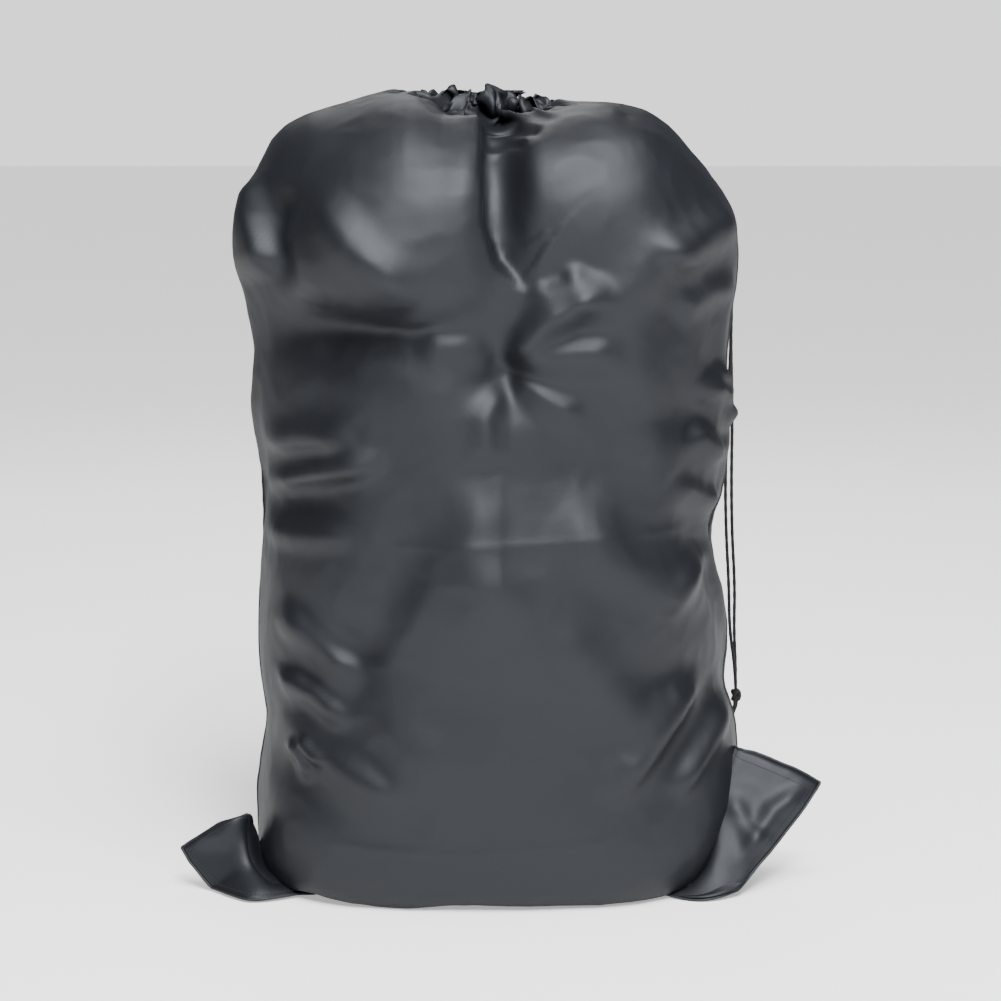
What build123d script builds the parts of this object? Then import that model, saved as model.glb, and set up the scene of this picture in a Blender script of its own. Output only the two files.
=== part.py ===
from build123d import *
import math
import os

# Drawstring laundry bag, filled and standing on its base.
# Millimetres, +Z up, front towards -Y. The origin is on the floor, under the middle of the bag.

# ---- driving dimensions ----
cloth_wall = 2.0            # cloth with its slack and small folds
load_gap = 1.0              # air between the cloth and the clothes
seam_half = 0.6             # half the thickness of the sewn seam between the two panels
ear_half = 2.0              # half the thickness of a flattened bottom corner
ear_seam_width = 8.0        # sewn edge round each ear

cord_diameter = 3.0
cord_radius = cord_diameter / 2
strand_spacing = 3.6        # between the two strands where they leave the mouth
swing_gap = 1.2             # lets the hanging length swing without touching the length above

mouth_x = -13.0
mouth_y = 8.0
top_height = 632.0          # the gathered cloth that the mouth stands on
mouth_hole_radius = 9.0
casing_outer_radius = 30.0
casing_inner_radius = 11.0
casing_height = 21.0
casing_round = 3.0
cord_channel_ring = 21.0    # radius of the drawcord's ring inside the casing
cord_channel_radius = 3.0
cord_height = 644.0
ruffle_height = 12.0
ruffle_wall = 2.0
ruffle_flare = 10.0
stitch_band = 0.8

exit_angle = 35.0           # the cord leaves the mouth to the back right
eyelet_hole_radius = 4.1
eyelet_barrel_radius = 4.7
eyelet_flange_radius = 7.8
eyelet_flange = 0.8
eyelet_cloth = 1.2          # cloth pinched between the flange and the washer
washer_thickness = 0.6
washer_clearance = 0.08

lock_distance = 11.0        # eyelet face to the lock's axis
lock_outer_radius = 8.5
lock_bore_radius = 6.6
lock_floor_gap = 0.4
lock_floor = 1.4
lock_top = 649.5
plunger_clearance = 0.05
plunger_top = 653.5
plunger_travel = 3.0
slot_width = 8.0
barrel_slot_height = 4.2
cord_slot_gap = 0.1
plunger_foot = 3.0
spring_wire = 0.5
spring_radius = 4.6
spring_turns = 3.5

# Height, half width, half depth, x centre, y centre of the filled bag.
body_sections = [
    (0, 178, 122, -8, 0),
    (12, 196, 142, -8, 0),
    (45, 207, 158, -5, 0),
    (110, 203, 164, -2, 0),
    (200, 198, 165, -6, 0),
    (290, 191, 161, -11, 0),
    (390, 200, 160, -9, 0),
    (480, 208, 158, -10, 0),
    (535, 210, 152, -12, 0),
    (575, 204, 146, -12, 1),
    (602, 192, 135, -13, 2),
    (619, 172, 118, -13, 4),
    (628, 140, 96, -13, 6),
    (632, 100, 76, -13, 8),
]

# The seam plane leans back from the front of the base to the mouth.
seam_foot_y = -105.0
seam_lean = math.degrees(math.atan2(mouth_y - seam_foot_y, top_height))

# Outline of each bottom corner in the seam plane: across, up the plane.
left_ear = [(-120, 1.5), (-212, 1.5), (-242, 9), (-256, 31), (-265, 42), (-218, 70), (-198, 98), (-120, 98)]
right_ear = [(120, 1.5), (168, 1.5), (198, 16), (265, 97), (246, 107), (203, 120), (184, 138), (120, 138)]

# ---- derived places ----
seam_normal = Vector(0, -math.cos(math.radians(seam_lean)), math.sin(math.radians(seam_lean)))
seam_plane = Plane(origin=(0, seam_foot_y, 0), x_dir=(1, 0, 0), z_dir=seam_normal)
mouth = Vector(mouth_x, mouth_y, 0)
exit_way = Vector(math.cos(math.radians(exit_angle)), math.sin(math.radians(exit_angle)), 0)
side_way = Vector(-exit_way.Y, exit_way.X, 0)
eyelet_face = casing_outer_radius + 1.0
cord_start = mouth + exit_way * eyelet_face + Vector(0, 0, cord_height)
lock_centre = mouth + exit_way * (eyelet_face + lock_distance)
lock_bottom = top_height + lock_floor_gap


def exit_plane(distance, height=cord_height):
    """Plane across the cord's way out, at this distance from the mouth's axis."""
    return Plane(origin=mouth + exit_way * distance + Vector(0, 0, height), x_dir=side_way, z_dir=exit_way)


def bag_form(inset):
    """The filled bag's form, drawn in by inset all round."""
    squeeze = (top_height - 2 * inset) / top_height
    with BuildPart() as form:
        for height, half_width, half_depth, x, y in body_sections:
            with BuildSketch(Plane.XY.offset(inset + height * squeeze)):
                with Locations((x, y)):
                    Ellipse(half_width - inset, half_depth - inset)
        loft()
    return form.part


def arc_radii(points):
    """Each corner's arc: 0.45 of the shorter run over the tangent of half the turn."""
    radii = []
    for before, corner, after in zip(points, points[1:], points[2:]):
        run_in = Vector(*corner) - Vector(*before)
        run_out = Vector(*after) - Vector(*corner)
        turn = math.radians(run_in.get_angle(run_out))
        radii.append(0.45 * min(run_in.length, run_out.length) / math.tan(turn / 2))
    return radii


def cord_tube(points, label):
    """A round cord along straight runs joined by tangent arcs."""
    radii = arc_radii(points)
    with BuildPart() as tube:
        with BuildLine() as path:
            FilletPolyline(*points, radius=radii)
        route = path.wire()
        with BuildSketch(Plane(origin=route @ 0, z_dir=route % 0)):
            Circle(cord_radius)
        sweep()
    expected = math.pi * cord_radius**2 * route.length
    print(
        f"{label}: length {route.length:.1f}, volume {tube.part.volume:.1f} of {expected:.1f}, "
        f"radii {[round(r, 1) for r in radii]}"
    )
    return tube.part


def save(piece, label):
    """Names the piece and writes its file."""
    piece.label = label
    export_step(piece, f"parts/{label}.step")


os.makedirs("parts", exist_ok=True)

# ---- clothes inside ----
with BuildPart() as laundry_load:
    add(bag_form(cloth_wall + load_gap))
save(laundry_load.part, "laundry_load")

# ---- the cloth all round, with both ears, before it is parted at the seams ----
with BuildPart() as skin:
    add(bag_form(0))
    for outline in (left_ear, right_ear):
        with BuildSketch(seam_plane):
            with BuildLine():
                Polyline(*outline, close=True)
            make_face()
        extrude(amount=ear_half, both=True)
    add(bag_form(cloth_wall), mode=Mode.SUBTRACT)
    with BuildSketch(Plane.XY.offset(top_height)):
        with Locations((mouth_x, mouth_y)):
            Circle(mouth_hole_radius)
    extrude(amount=-3 * cloth_wall, mode=Mode.SUBTRACT)
    split(bisect_by=Plane.XY, keep=Keep.TOP)

with BuildPart() as front_panel:
    add(skin.part)
    split(bisect_by=seam_plane.offset(seam_half), keep=Keep.TOP)
save(front_panel.part, "front_panel")

with BuildPart() as back_panel:
    add(skin.part)
    split(bisect_by=seam_plane.offset(-seam_half), keep=Keep.BOTTOM)
save(back_panel.part, "back_panel")

# ---- the sewn seam between the panels ----
with BuildPart() as seam_band:
    add(skin.part)
    split(bisect_by=seam_plane.offset(seam_half), keep=Keep.BOTTOM)
    split(bisect_by=seam_plane.offset(-seam_half), keep=Keep.TOP)
    for outline in (left_ear, right_ear):
        with BuildSketch(seam_plane.offset(-seam_half)):
            with BuildLine():
                Polyline(*outline, close=True)
            make_face()
            offset(amount=-ear_seam_width, mode=Mode.REPLACE)
        extrude(amount=2 * seam_half, mode=Mode.SUBTRACT)


def seam_cut(level):
    """Plane across the seam band at this height up the seam plane."""
    return Plane(origin=seam_plane.from_local_coords(Vector(0, level, 0)), x_dir=(1, 0, 0), z_dir=seam_plane.y_dir)


seam_parting = Plane.YZ.offset(mouth_x)
left_tip_level = left_ear[4][1]
right_tip_level = right_ear[3][1]

with BuildPart() as left_side_seam:
    add(seam_band.part)
    split(bisect_by=seam_parting, keep=Keep.BOTTOM)
    split(bisect_by=seam_cut(left_tip_level), keep=Keep.TOP)
save(left_side_seam.part, "left_side_seam")

with BuildPart() as right_side_seam:
    add(seam_band.part)
    split(bisect_by=seam_parting, keep=Keep.TOP)
    split(bisect_by=seam_cut(right_tip_level), keep=Keep.TOP)
save(right_side_seam.part, "right_side_seam")

with BuildPart() as bottom_left:
    add(seam_band.part)
    split(bisect_by=seam_parting, keep=Keep.BOTTOM)
    split(bisect_by=seam_cut(left_tip_level), keep=Keep.BOTTOM)

with BuildPart() as bottom_seam:
    add(seam_band.part)
    split(bisect_by=seam_parting, keep=Keep.TOP)
    split(bisect_by=seam_cut(right_tip_level), keep=Keep.BOTTOM)
    add(bottom_left.part)
save(bottom_seam.part, "bottom_seam")

# ---- the drawn casing round the mouth, in a front and a back half ----
with BuildPart() as casing:
    with BuildSketch(Plane.XY.offset(top_height)):
        with Locations((mouth_x, mouth_y)):
            Circle(casing_outer_radius)
            Circle(casing_inner_radius, mode=Mode.SUBTRACT)
    extrude(amount=casing_height)
    fillet(casing.faces().sort_by(Axis.Z)[-1].edges(), radius=casing_round)
    with Locations((mouth_x, mouth_y, cord_height)):
        Torus(cord_channel_ring, cord_channel_radius, mode=Mode.SUBTRACT)
    flat_at = casing_outer_radius + 1.0 - eyelet_flange
    with BuildSketch(exit_plane(flat_at)):
        Circle(eyelet_flange_radius + 1.0)
    extrude(amount=4.0, mode=Mode.SUBTRACT)
    pocket_at = flat_at - eyelet_cloth
    with BuildSketch(exit_plane(pocket_at)):
        Circle(eyelet_flange_radius + 0.4)
    extrude(amount=-(pocket_at - cord_channel_ring - 1.0), mode=Mode.SUBTRACT)
    with BuildSketch(exit_plane(pocket_at)):
        Circle(eyelet_barrel_radius + washer_clearance)
    extrude(amount=4.0, mode=Mode.SUBTRACT)
casing_parting = Plane(origin=(mouth_x, mouth_y, 0), x_dir=(1, 0, 0), z_dir=(0, -1, 0))

with BuildPart() as front_casing:
    add(casing.part)
    split(bisect_by=casing_parting, keep=Keep.TOP)
save(front_casing.part, "front_casing")

with BuildPart() as back_casing:
    add(casing.part)
    split(bisect_by=casing_parting, keep=Keep.BOTTOM)
save(back_casing.part, "back_casing")

# The stitch row at the casing's foot.
with BuildPart() as casing_stitching:
    with BuildSketch(Plane.XY.offset(top_height)):
        with Locations((mouth_x, mouth_y)):
            Circle(casing_outer_radius + stitch_band)
            Circle(casing_outer_radius, mode=Mode.SUBTRACT)
    extrude(amount=stitch_band)
save(casing_stitching.part, "casing_stitching")

# The heading of cloth that stands above the casing and flares outwards.
casing_top = top_height + casing_height
ruffle_foot_radius = casing_inner_radius + casing_round + ruffle_wall
with BuildPart() as mouth_ruffle:
    with BuildSketch(Plane.XZ.offset(-mouth_y)):
        with BuildLine():
            Polyline(
                (mouth_x + ruffle_foot_radius, casing_top),
                (mouth_x + ruffle_foot_radius + ruffle_wall, casing_top),
                (mouth_x + ruffle_foot_radius + ruffle_wall + ruffle_flare, casing_top + ruffle_height),
                (mouth_x + ruffle_foot_radius + ruffle_flare, casing_top + ruffle_height),
                close=True,
            )
        make_face()
    revolve(axis=Axis((mouth_x, mouth_y, 0), (0, 0, 1)))
save(mouth_ruffle.part, "mouth_ruffle")

# ---- the eyelet and its washer ----
with BuildPart() as cord_eyelet:
    with BuildSketch(exit_plane(flat_at)):
        Circle(eyelet_flange_radius)
        Circle(eyelet_hole_radius, mode=Mode.SUBTRACT)
    extrude(amount=eyelet_flange)
    fillet(cord_eyelet.edges().filter_by(GeomType.CIRCLE).sort_by(SortBy.RADIUS)[-1], radius=0.3)
    barrel_length = eyelet_cloth + 2 * washer_thickness
    with BuildSketch(exit_plane(flat_at)):
        Circle(eyelet_barrel_radius)
        Circle(eyelet_hole_radius, mode=Mode.SUBTRACT)
    extrude(amount=-barrel_length)
save(cord_eyelet.part, "cord_eyelet")

with BuildPart() as eyelet_washer:
    with BuildSketch(exit_plane(pocket_at)):
        Circle(eyelet_flange_radius)
        Circle(eyelet_barrel_radius + washer_clearance, mode=Mode.SUBTRACT)
    extrude(amount=-washer_thickness)
save(eyelet_washer.part, "eyelet_washer")


# ---- the drawcord inside the casing: round the mouth, then out through the eyelet ----
def ring_point(angle, radius=cord_channel_ring):
    """A point on the drawcord's ring, the angle counted from the way out."""
    turned = math.radians(exit_angle + angle)
    return Vector(mouth_x + radius * math.cos(turned), mouth_y + radius * math.sin(turned), cord_height)


half_spacing = strand_spacing / 2
loop_points = [cord_start + side_way * half_spacing]
loop_points.append(mouth + exit_way * (cord_channel_ring - 0.5) + side_way * half_spacing + Vector(0, 0, cord_height))
loop_points.extend(ring_point(angle) for angle in range(45, 316, 30))
loop_points.append(mouth + exit_way * (cord_channel_ring - 0.5) - side_way * half_spacing + Vector(0, 0, cord_height))
loop_points.append(cord_start - side_way * half_spacing)
save(cord_tube(loop_points, "drawcord_loop"), "drawcord_loop")

# ---- the two free strands, over the back of the bag and down its right side ----
first_run = 52.0
outer_start = cord_start + side_way * half_spacing
inner_start = cord_start - side_way * half_spacing
outer_top = [
    outer_start,
    outer_start + exit_way * first_run,
    Vector(100, 83, 634),
    Vector(143, 88, 614),
    Vector(177, 80, 582),
    Vector(195, 66, 544),
    Vector(198, 50, 500),
]
inner_top = [
    inner_start,
    inner_start + exit_way * first_run,
    Vector(102, 78, 634),
    Vector(145, 82, 614),
    Vector(180, 73, 582),
    Vector(197, 59, 544),
    Vector(198, 43, 500),
]
outer_hang = [
    Vector(198, 48.5, 444),
    Vector(200, 47.5, 388),
    Vector(199.5, 46, 332),
    Vector(200.5, 44.5, 282),
    Vector(203.5, 43, 236),
    Vector(203, 42, 196),
    Vector(205, 41.8, 165),
    Vector(205, 41.8, 143),
]
inner_hang = [
    Vector(197.5, 42, 444),
    Vector(195.5, 41.5, 388),
    Vector(193.8, 41, 332),
    Vector(195, 40.5, 284),
    Vector(198, 40, 238),
    Vector(198.8, 39, 198),
    Vector(204, 38.2, 165),
    Vector(205, 38.2, 143),
]


def save_strand(top, hang, name):
    """One strand in two pieces, parted at the shoulder where the hanging length swings."""
    hinge = (top[-1] + hang[0]) * 0.5
    down = (hang[0] - top[-1]).normalized()
    save(cord_tube(top + [hinge - down * swing_gap / 2], f"drawcord_{name}_top"), f"drawcord_{name}_top")
    save(cord_tube([hinge + down * swing_gap / 2] + hang, f"drawcord_{name}_hanging"), f"drawcord_{name}_hanging")


save_strand(outer_top, outer_hang, "outer")
save_strand(inner_top, inner_hang, "inner")

# ---- the knot that joins the strands, and their short ends ----
knot_centre = Vector(205, 40, 140)
knot_half_width = 5.0
knot_half_height = 7.0
with BuildPart() as end_knot:
    with BuildSketch(Plane.XZ.offset(-knot_centre.Y)):
        with BuildLine():
            Line((knot_centre.X, knot_centre.Z - knot_half_height), (knot_centre.X, knot_centre.Z + knot_half_height))
            Spline(
                (knot_centre.X, knot_centre.Z + knot_half_height),
                (knot_centre.X + knot_half_width, knot_centre.Z + 1.5),
                (knot_centre.X, knot_centre.Z - knot_half_height),
                tangents=((1, 0), (-1, 0)),
            )
        make_face()
    revolve(axis=Axis((knot_centre.X, knot_centre.Y, 0), (0, 0, 1)))
save(end_knot.part, "end_knot")

long_tail = [Vector(206.2, 42, 135), Vector(205, 42, 127), Vector(201.8, 41.4, 121)]
short_tail = [Vector(204, 38, 135), Vector(204, 37.6, 129), Vector(202.6, 37, 124)]
save(cord_tube(long_tail, "drawcord_tail_long"), "drawcord_tail_long")
save(cord_tube(short_tail, "drawcord_tail_short"), "drawcord_tail_short")

# ---- the cord lock: barrel, plunger and spring, with the cord through both ----
slot_centre = lock_centre + Vector(0, 0, cord_height)
with BuildPart() as lock_barrel:
    with BuildSketch(Plane.XY.offset(lock_bottom)):
        with Locations((lock_centre.X, lock_centre.Y)):
            Circle(lock_outer_radius)
    extrude(amount=lock_top - lock_bottom)
    rims = lock_barrel.edges().filter_by(GeomType.CIRCLE)
    fillet(rims, radius=0.8)
    with BuildSketch(Plane.XY.offset(lock_bottom + lock_floor)):
        with Locations((lock_centre.X, lock_centre.Y)):
            Circle(lock_bore_radius)
    extrude(amount=lock_top - lock_bottom, mode=Mode.SUBTRACT)
    with BuildSketch(Plane(origin=slot_centre, x_dir=side_way, z_dir=exit_way)):
        SlotOverall(slot_width, barrel_slot_height)
    extrude(amount=2 * lock_outer_radius, both=True, mode=Mode.SUBTRACT)
save(lock_barrel.part, "lock_barrel")

plunger_slot_low = cord_height - cord_radius - cord_slot_gap
plunger_slot_high = cord_height + cord_radius + cord_slot_gap + plunger_travel
plunger_bottom = plunger_slot_low - plunger_foot
plunger_slot_middle = lock_centre + Vector(0, 0, (plunger_slot_low + plunger_slot_high) / 2)
with BuildPart() as lock_plunger:
    with BuildSketch(Plane.XY.offset(plunger_bottom)):
        with Locations((lock_centre.X, lock_centre.Y)):
            Circle(lock_bore_radius - plunger_clearance)
    extrude(amount=plunger_top - plunger_bottom)
    fillet(lock_plunger.faces().sort_by(Axis.Z)[-1].edges(), radius=1.4)
    with BuildSketch(Plane(origin=plunger_slot_middle, x_dir=side_way, z_dir=exit_way)):
        Rectangle(slot_width, plunger_slot_high - plunger_slot_low)
    extrude(amount=2 * lock_outer_radius, both=True, mode=Mode.SUBTRACT)
save(lock_plunger.part, "lock_plunger")

spring_bottom = lock_bottom + lock_floor
spring_room = plunger_bottom - spring_bottom
spring_rise = spring_room - spring_wire - 0.1
spring_pitch = spring_rise / spring_turns
spring_foot = (lock_centre.X, lock_centre.Y, spring_bottom + spring_wire / 2 + 0.05)
with BuildPart() as lock_spring:
    with BuildLine() as coil:
        Helix(pitch=spring_pitch, height=spring_rise, radius=spring_radius, center=spring_foot)
    with BuildSketch(Plane(origin=coil.line @ 0, z_dir=coil.line % 0)):
        Circle(spring_wire / 2)
    sweep(is_frenet=True)
save(lock_spring.part, "lock_spring")
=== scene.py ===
import math

import bpy
import numpy as np
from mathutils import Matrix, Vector, noise
from mathutils.bvhtree import BVHTree


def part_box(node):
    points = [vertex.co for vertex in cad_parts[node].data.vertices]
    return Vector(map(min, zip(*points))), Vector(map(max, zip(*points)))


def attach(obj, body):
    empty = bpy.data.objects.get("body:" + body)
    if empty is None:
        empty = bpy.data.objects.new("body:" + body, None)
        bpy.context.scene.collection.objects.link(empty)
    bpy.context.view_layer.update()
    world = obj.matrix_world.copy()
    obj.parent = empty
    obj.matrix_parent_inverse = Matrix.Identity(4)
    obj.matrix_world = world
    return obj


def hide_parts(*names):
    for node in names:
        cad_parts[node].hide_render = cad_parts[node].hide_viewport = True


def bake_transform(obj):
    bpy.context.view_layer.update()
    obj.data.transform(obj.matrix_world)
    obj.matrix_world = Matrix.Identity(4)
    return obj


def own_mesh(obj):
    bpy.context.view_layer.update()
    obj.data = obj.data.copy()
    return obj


# Filled drawstring laundry bag. Metres, +Z up, front towards -Y, origin on the floor.
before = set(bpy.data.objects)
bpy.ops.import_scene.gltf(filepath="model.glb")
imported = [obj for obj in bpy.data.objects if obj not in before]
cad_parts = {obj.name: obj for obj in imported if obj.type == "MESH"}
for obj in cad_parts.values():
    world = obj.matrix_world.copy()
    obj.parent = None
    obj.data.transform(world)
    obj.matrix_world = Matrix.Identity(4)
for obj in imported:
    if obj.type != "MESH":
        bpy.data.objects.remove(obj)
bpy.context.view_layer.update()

# ---- the camera ----
EYE_DISTANCE = 2.36
EYE_HEIGHT = 0.3167          # of the point that it looks at
EYE_ELEVATION = math.radians(8.0)

# ---- the flat pouch and the filled bag ----
POUCH_WIDTH = 0.610
POUCH_HEIGHT = 0.914
SIDE_LENGTH = 0.930          # side seam, ear tip to mouth edge, with its ease
FRONT_EASE = -0.02           # the front runs shorter than the sides
BACK_EASE = 0.060            # the back also wraps the base
FORM_X = -0.010
FORM_A = 0.220               # half width and half depth that the slack pouch starts at
FORM_B = 0.180
MOUTH = np.array([-0.013, 0.008, 0.627])  # middle of the casing's foot
CASING = 0.026               # height of the drawn casing
PLEATS = 22
SEAM_Y = -0.085              # where the bottom seam lies under the base
CORD_EXIT = math.radians(35.0)

# ---- detail ----
COARSE_COLUMNS = 50          # across one panel, in the simulation
COARSE_ROWS = 76
CASING_ROWS = 2              # of the coarse rows
FINE_CASING_ROWS = 4 * CASING_ROWS
COARSE_FRAMES = 34
CLOTH_THICKNESS = 0.0008

# Height, half width, half depth, x centre of the clothes inside.
LOAD = np.array([
    (0.000, 0.180, 0.136, -0.012),
    (0.012, 0.192, 0.150, -0.010),
    (0.045, 0.197, 0.156, -0.004),
    (0.110, 0.194, 0.157, 0.000),
    (0.200, 0.188, 0.157, -0.007),
    (0.270, 0.180, 0.152, -0.013),
    (0.330, 0.185, 0.150, -0.010),
    (0.400, 0.193, 0.150, -0.009),
    (0.470, 0.193, 0.150, -0.010),
    (0.540, 0.202, 0.148, -0.012),
    (0.580, 0.200, 0.146, -0.011),
    (0.605, 0.193, 0.140, -0.012),
    (0.624, 0.182, 0.129, -0.014),
    (0.639, 0.164, 0.112, -0.016),
    (0.650, 0.136, 0.088, -0.020),
    (0.656, 0.090, 0.056, -0.026),
])

# Bulges and hollows that the clothes make in the front: x, z, depth, reach in x, reach in z.
HOLLOWS = [
    (-0.105, 0.474, 0.030, 0.080, 0.026),
    (0.004, 0.438, 0.024, 0.030, 0.030),
    (0.170, 0.500, 0.012, 0.040, 0.030),
    (0.165, 0.400, 0.014, 0.050, 0.020),
    (0.060, 0.360, 0.008, 0.060, 0.030),
    (-0.170, 0.340, 0.014, 0.050, 0.030),
    (-0.120, 0.210, 0.018, 0.050, 0.030),
    (-0.060, 0.170, 0.006, 0.050, 0.030),
    (0.150, 0.150, 0.012, 0.050, 0.050),
    (-0.150, 0.120, 0.012, 0.040, 0.030),
    (-0.002, 0.600, 0.030, 0.018, 0.070),
    (-0.090, 0.555, -0.016, 0.090, 0.050),
    (0.100, 0.550, -0.010, 0.060, 0.050),
    (0.030, 0.270, -0.012, 0.090, 0.090),
    (-0.030, 0.080, -0.008, 0.120, 0.050),
    (0.100, 0.450, -0.008, 0.050, 0.030),
]

# ---- the drawcord: the same route points as the model's, in metres ----
CORD_DIAMETER = 0.003
OUTER_ROUTE = [
    (0.011361, 0.027255, 0.644),
    (0.053957, 0.057081, 0.644),
    (0.100, 0.083, 0.634),
    (0.143, 0.088, 0.614),
    (0.177, 0.080, 0.582),
    (0.195, 0.066, 0.544),
    (0.198, 0.050, 0.500),
    (0.198, 0.0485, 0.444),
    (0.200, 0.0475, 0.388),
    (0.1995, 0.046, 0.332),
    (0.2005, 0.0445, 0.282),
    (0.2035, 0.043, 0.236),
    (0.203, 0.042, 0.196),
    (0.205, 0.0418, 0.165),
    (0.205, 0.0418, 0.143),
]
INNER_ROUTE = [
    (0.013426, 0.024306, 0.644),
    (0.056022, 0.054132, 0.644),
    (0.102, 0.078, 0.634),
    (0.145, 0.082, 0.614),
    (0.180, 0.073, 0.582),
    (0.197, 0.059, 0.544),
    (0.198, 0.043, 0.500),
    (0.1975, 0.042, 0.444),
    (0.1955, 0.0415, 0.388),
    (0.1938, 0.041, 0.332),
    (0.195, 0.0405, 0.284),
    (0.198, 0.040, 0.238),
    (0.1988, 0.039, 0.198),
    (0.204, 0.0382, 0.165),
    (0.205, 0.0382, 0.143),
]
LONG_TAIL = [(0.2062, 0.042, 0.137), (0.2062, 0.042, 0.135), (0.205, 0.042, 0.127), (0.2018, 0.0414, 0.121)]
SHORT_TAIL = [(0.204, 0.038, 0.137), (0.204, 0.038, 0.135), (0.204, 0.0376, 0.129), (0.2026, 0.037, 0.124)]
KNOT = np.array([0.205, 0.040, 0.140])

# ---- the cord lock ----
LOCK_SLIDE = 0.015
SPRING_WIRE = 0.0005
SPRING_RADIUS = 0.0046
SPRING_TURNS = 3.5


# ================= camera, floor and light =================

def place_camera():
    """Seen from the front, a little above the middle."""
    target = Vector((0.0, 0.0, EYE_HEIGHT))
    back_and_up = Vector((0, -math.cos(EYE_ELEVATION), math.sin(EYE_ELEVATION)))
    data = bpy.data.cameras.new("camera")
    data.lens = 100.0
    data.sensor_width = 36.0
    camera = bpy.data.objects.new("camera", data)
    bpy.context.scene.collection.objects.link(camera)
    camera.location = target + back_and_up * EYE_DISTANCE
    camera.rotation_euler = (target - camera.location).to_track_quat("-Z", "Y").to_euler()
    bpy.context.scene.camera = camera


def add_area_light(name, place, target, size, power):
    data = bpy.data.lights.new(name, "AREA")
    data.shape = "DISK"
    data.size = size
    data.energy = power
    light = bpy.data.objects.new(name, data)
    bpy.context.scene.collection.objects.link(light)
    light.location = place
    light.rotation_euler = (Vector(target) - Vector(place)).to_track_quat("-Z", "Y").to_euler()


def set_studio():
    """A pale floor, a pale room, and soft lights from above, in front and behind."""
    half = 30.0
    mesh = bpy.data.meshes.new("floor")
    corners = [(-half, -half, 0), (half, -half, 0), (half, half, 0), (-half, half, 0)]
    mesh.from_pydata(corners, [], [(0, 1, 2, 3)])
    floor = bpy.data.objects.new("floor", mesh)
    bpy.context.scene.collection.objects.link(floor)
    mesh.materials.append(floor_material())
    world = bpy.data.worlds.new("room")
    bpy.context.scene.world = world
    world.use_nodes = True
    light_room(world.node_tree)
    sun = bpy.data.lights.new("ceiling", "SUN")
    sun.energy = 2.2
    sun.angle = math.radians(70)
    ceiling = bpy.data.objects.new("ceiling", sun)
    bpy.context.scene.collection.objects.link(ceiling)
    ceiling.rotation_euler = (math.radians(12), 0, 0)
    add_area_light("top_light", (0.50, -1.3, 2.9), (0, 0, 0.3), 1.4, 110.0)
    add_area_light("front_light", (0.45, -2.3, 2.4), (0, 0, 0.35), 0.8, 120.0)
    add_area_light("back_light", (-0.2, 2.4, 2.2), (0, 0, 0.4), 1.2, 25.0)


def light_room(tree):
    """The camera sees a white room. It lights the bag dimly, and least from both sides, for dark edges."""
    place = tree.nodes.new("ShaderNodeTexCoord")
    parts = tree.nodes.new("ShaderNodeSeparateXYZ")
    side = tree.nodes.new("ShaderNodeMath")
    side.operation = "ABSOLUTE"
    dim = tree.nodes.new("ShaderNodeMapRange")
    dim.inputs["From Min"].default_value = 0.35
    dim.inputs["From Max"].default_value = 0.85
    dim.inputs["To Min"].default_value = 0.20
    dim.inputs["To Max"].default_value = 0.06
    seen = tree.nodes.new("ShaderNodeLightPath")
    strength = tree.nodes.new("ShaderNodeMix")
    strength.inputs["B"].default_value = 1.50
    background = tree.nodes["Background"]
    background.inputs["Color"].default_value = (1.0, 1.0, 1.0, 1.0)
    tree.links.new(place.outputs["Generated"], parts.inputs["Vector"])
    tree.links.new(parts.outputs["X"], side.inputs[0])
    tree.links.new(side.outputs["Value"], dim.inputs["Value"])
    tree.links.new(seen.outputs["Is Camera Ray"], strength.inputs["Factor"])
    tree.links.new(dim.outputs["Result"], strength.inputs["A"])
    tree.links.new(strength.outputs["Result"], background.inputs["Strength"])


# ================= materials =================

class Shader:
    """A node material under construction."""

    def __init__(self, name):
        self.material = bpy.data.materials.new(name)
        self.material.use_nodes = True
        self.nodes = self.material.node_tree.nodes
        self.links = self.material.node_tree.links
        self.surface = self.nodes["Principled BSDF"]

    def node(self, kind, **inputs):
        made = self.nodes.new(kind)
        for name, value in inputs.items():
            self.feed(made.inputs[name.replace("_", " ")], value)
        return made

    def feed(self, socket, value):
        if isinstance(value, bpy.types.NodeSocket):
            self.links.new(value, socket)
        else:
            socket.default_value = value

    def coords(self, output="UV"):
        return self.node("ShaderNodeTexCoord").outputs[output]

    def stretch(self, coords, scale):
        mapping = self.node("ShaderNodeMapping", Vector=coords)
        mapping.inputs["Scale"].default_value = scale
        return mapping.outputs["Vector"]

    def noise(self, coords, scale, detail=3.0, roughness=0.5, distortion=0.0):
        made = self.node("ShaderNodeTexNoise", Vector=coords, Scale=scale, Detail=detail)
        made.inputs["Roughness"].default_value = roughness
        made.inputs["Distortion"].default_value = distortion
        return made.outputs["Fac"]

    def math(self, operation, a, b=0.0):
        made = self.nodes.new("ShaderNodeMath")
        made.operation = operation
        self.feed(made.inputs[0], a)
        self.feed(made.inputs[1], b)
        return made.outputs[0]

    def bands(self, coords, direction, scale):
        made = self.node("ShaderNodeTexWave", Vector=coords, Scale=scale)
        made.bands_direction = direction
        made.wave_profile = "SIN"
        return made.outputs["Fac"]

    def blend_colours(self, factor, low, high):
        ramp = self.node("ShaderNodeValToRGB", Fac=factor)
        ramp.color_ramp.elements[0].color = (*low, 1.0)
        ramp.color_ramp.elements[1].color = (*high, 1.0)
        return ramp.outputs["Color"]

    def bump(self, height, strength, distance, under=None):
        made = self.node("ShaderNodeBump", Height=height, Strength=strength, Distance=distance)
        if under is not None:
            self.feed(made.inputs["Normal"], under)
        return made.outputs["Normal"]

    def finish(self, **inputs):
        for name, value in inputs.items():
            self.feed(self.surface.inputs[name.replace("_", " ")], value)
        return self.material


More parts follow.
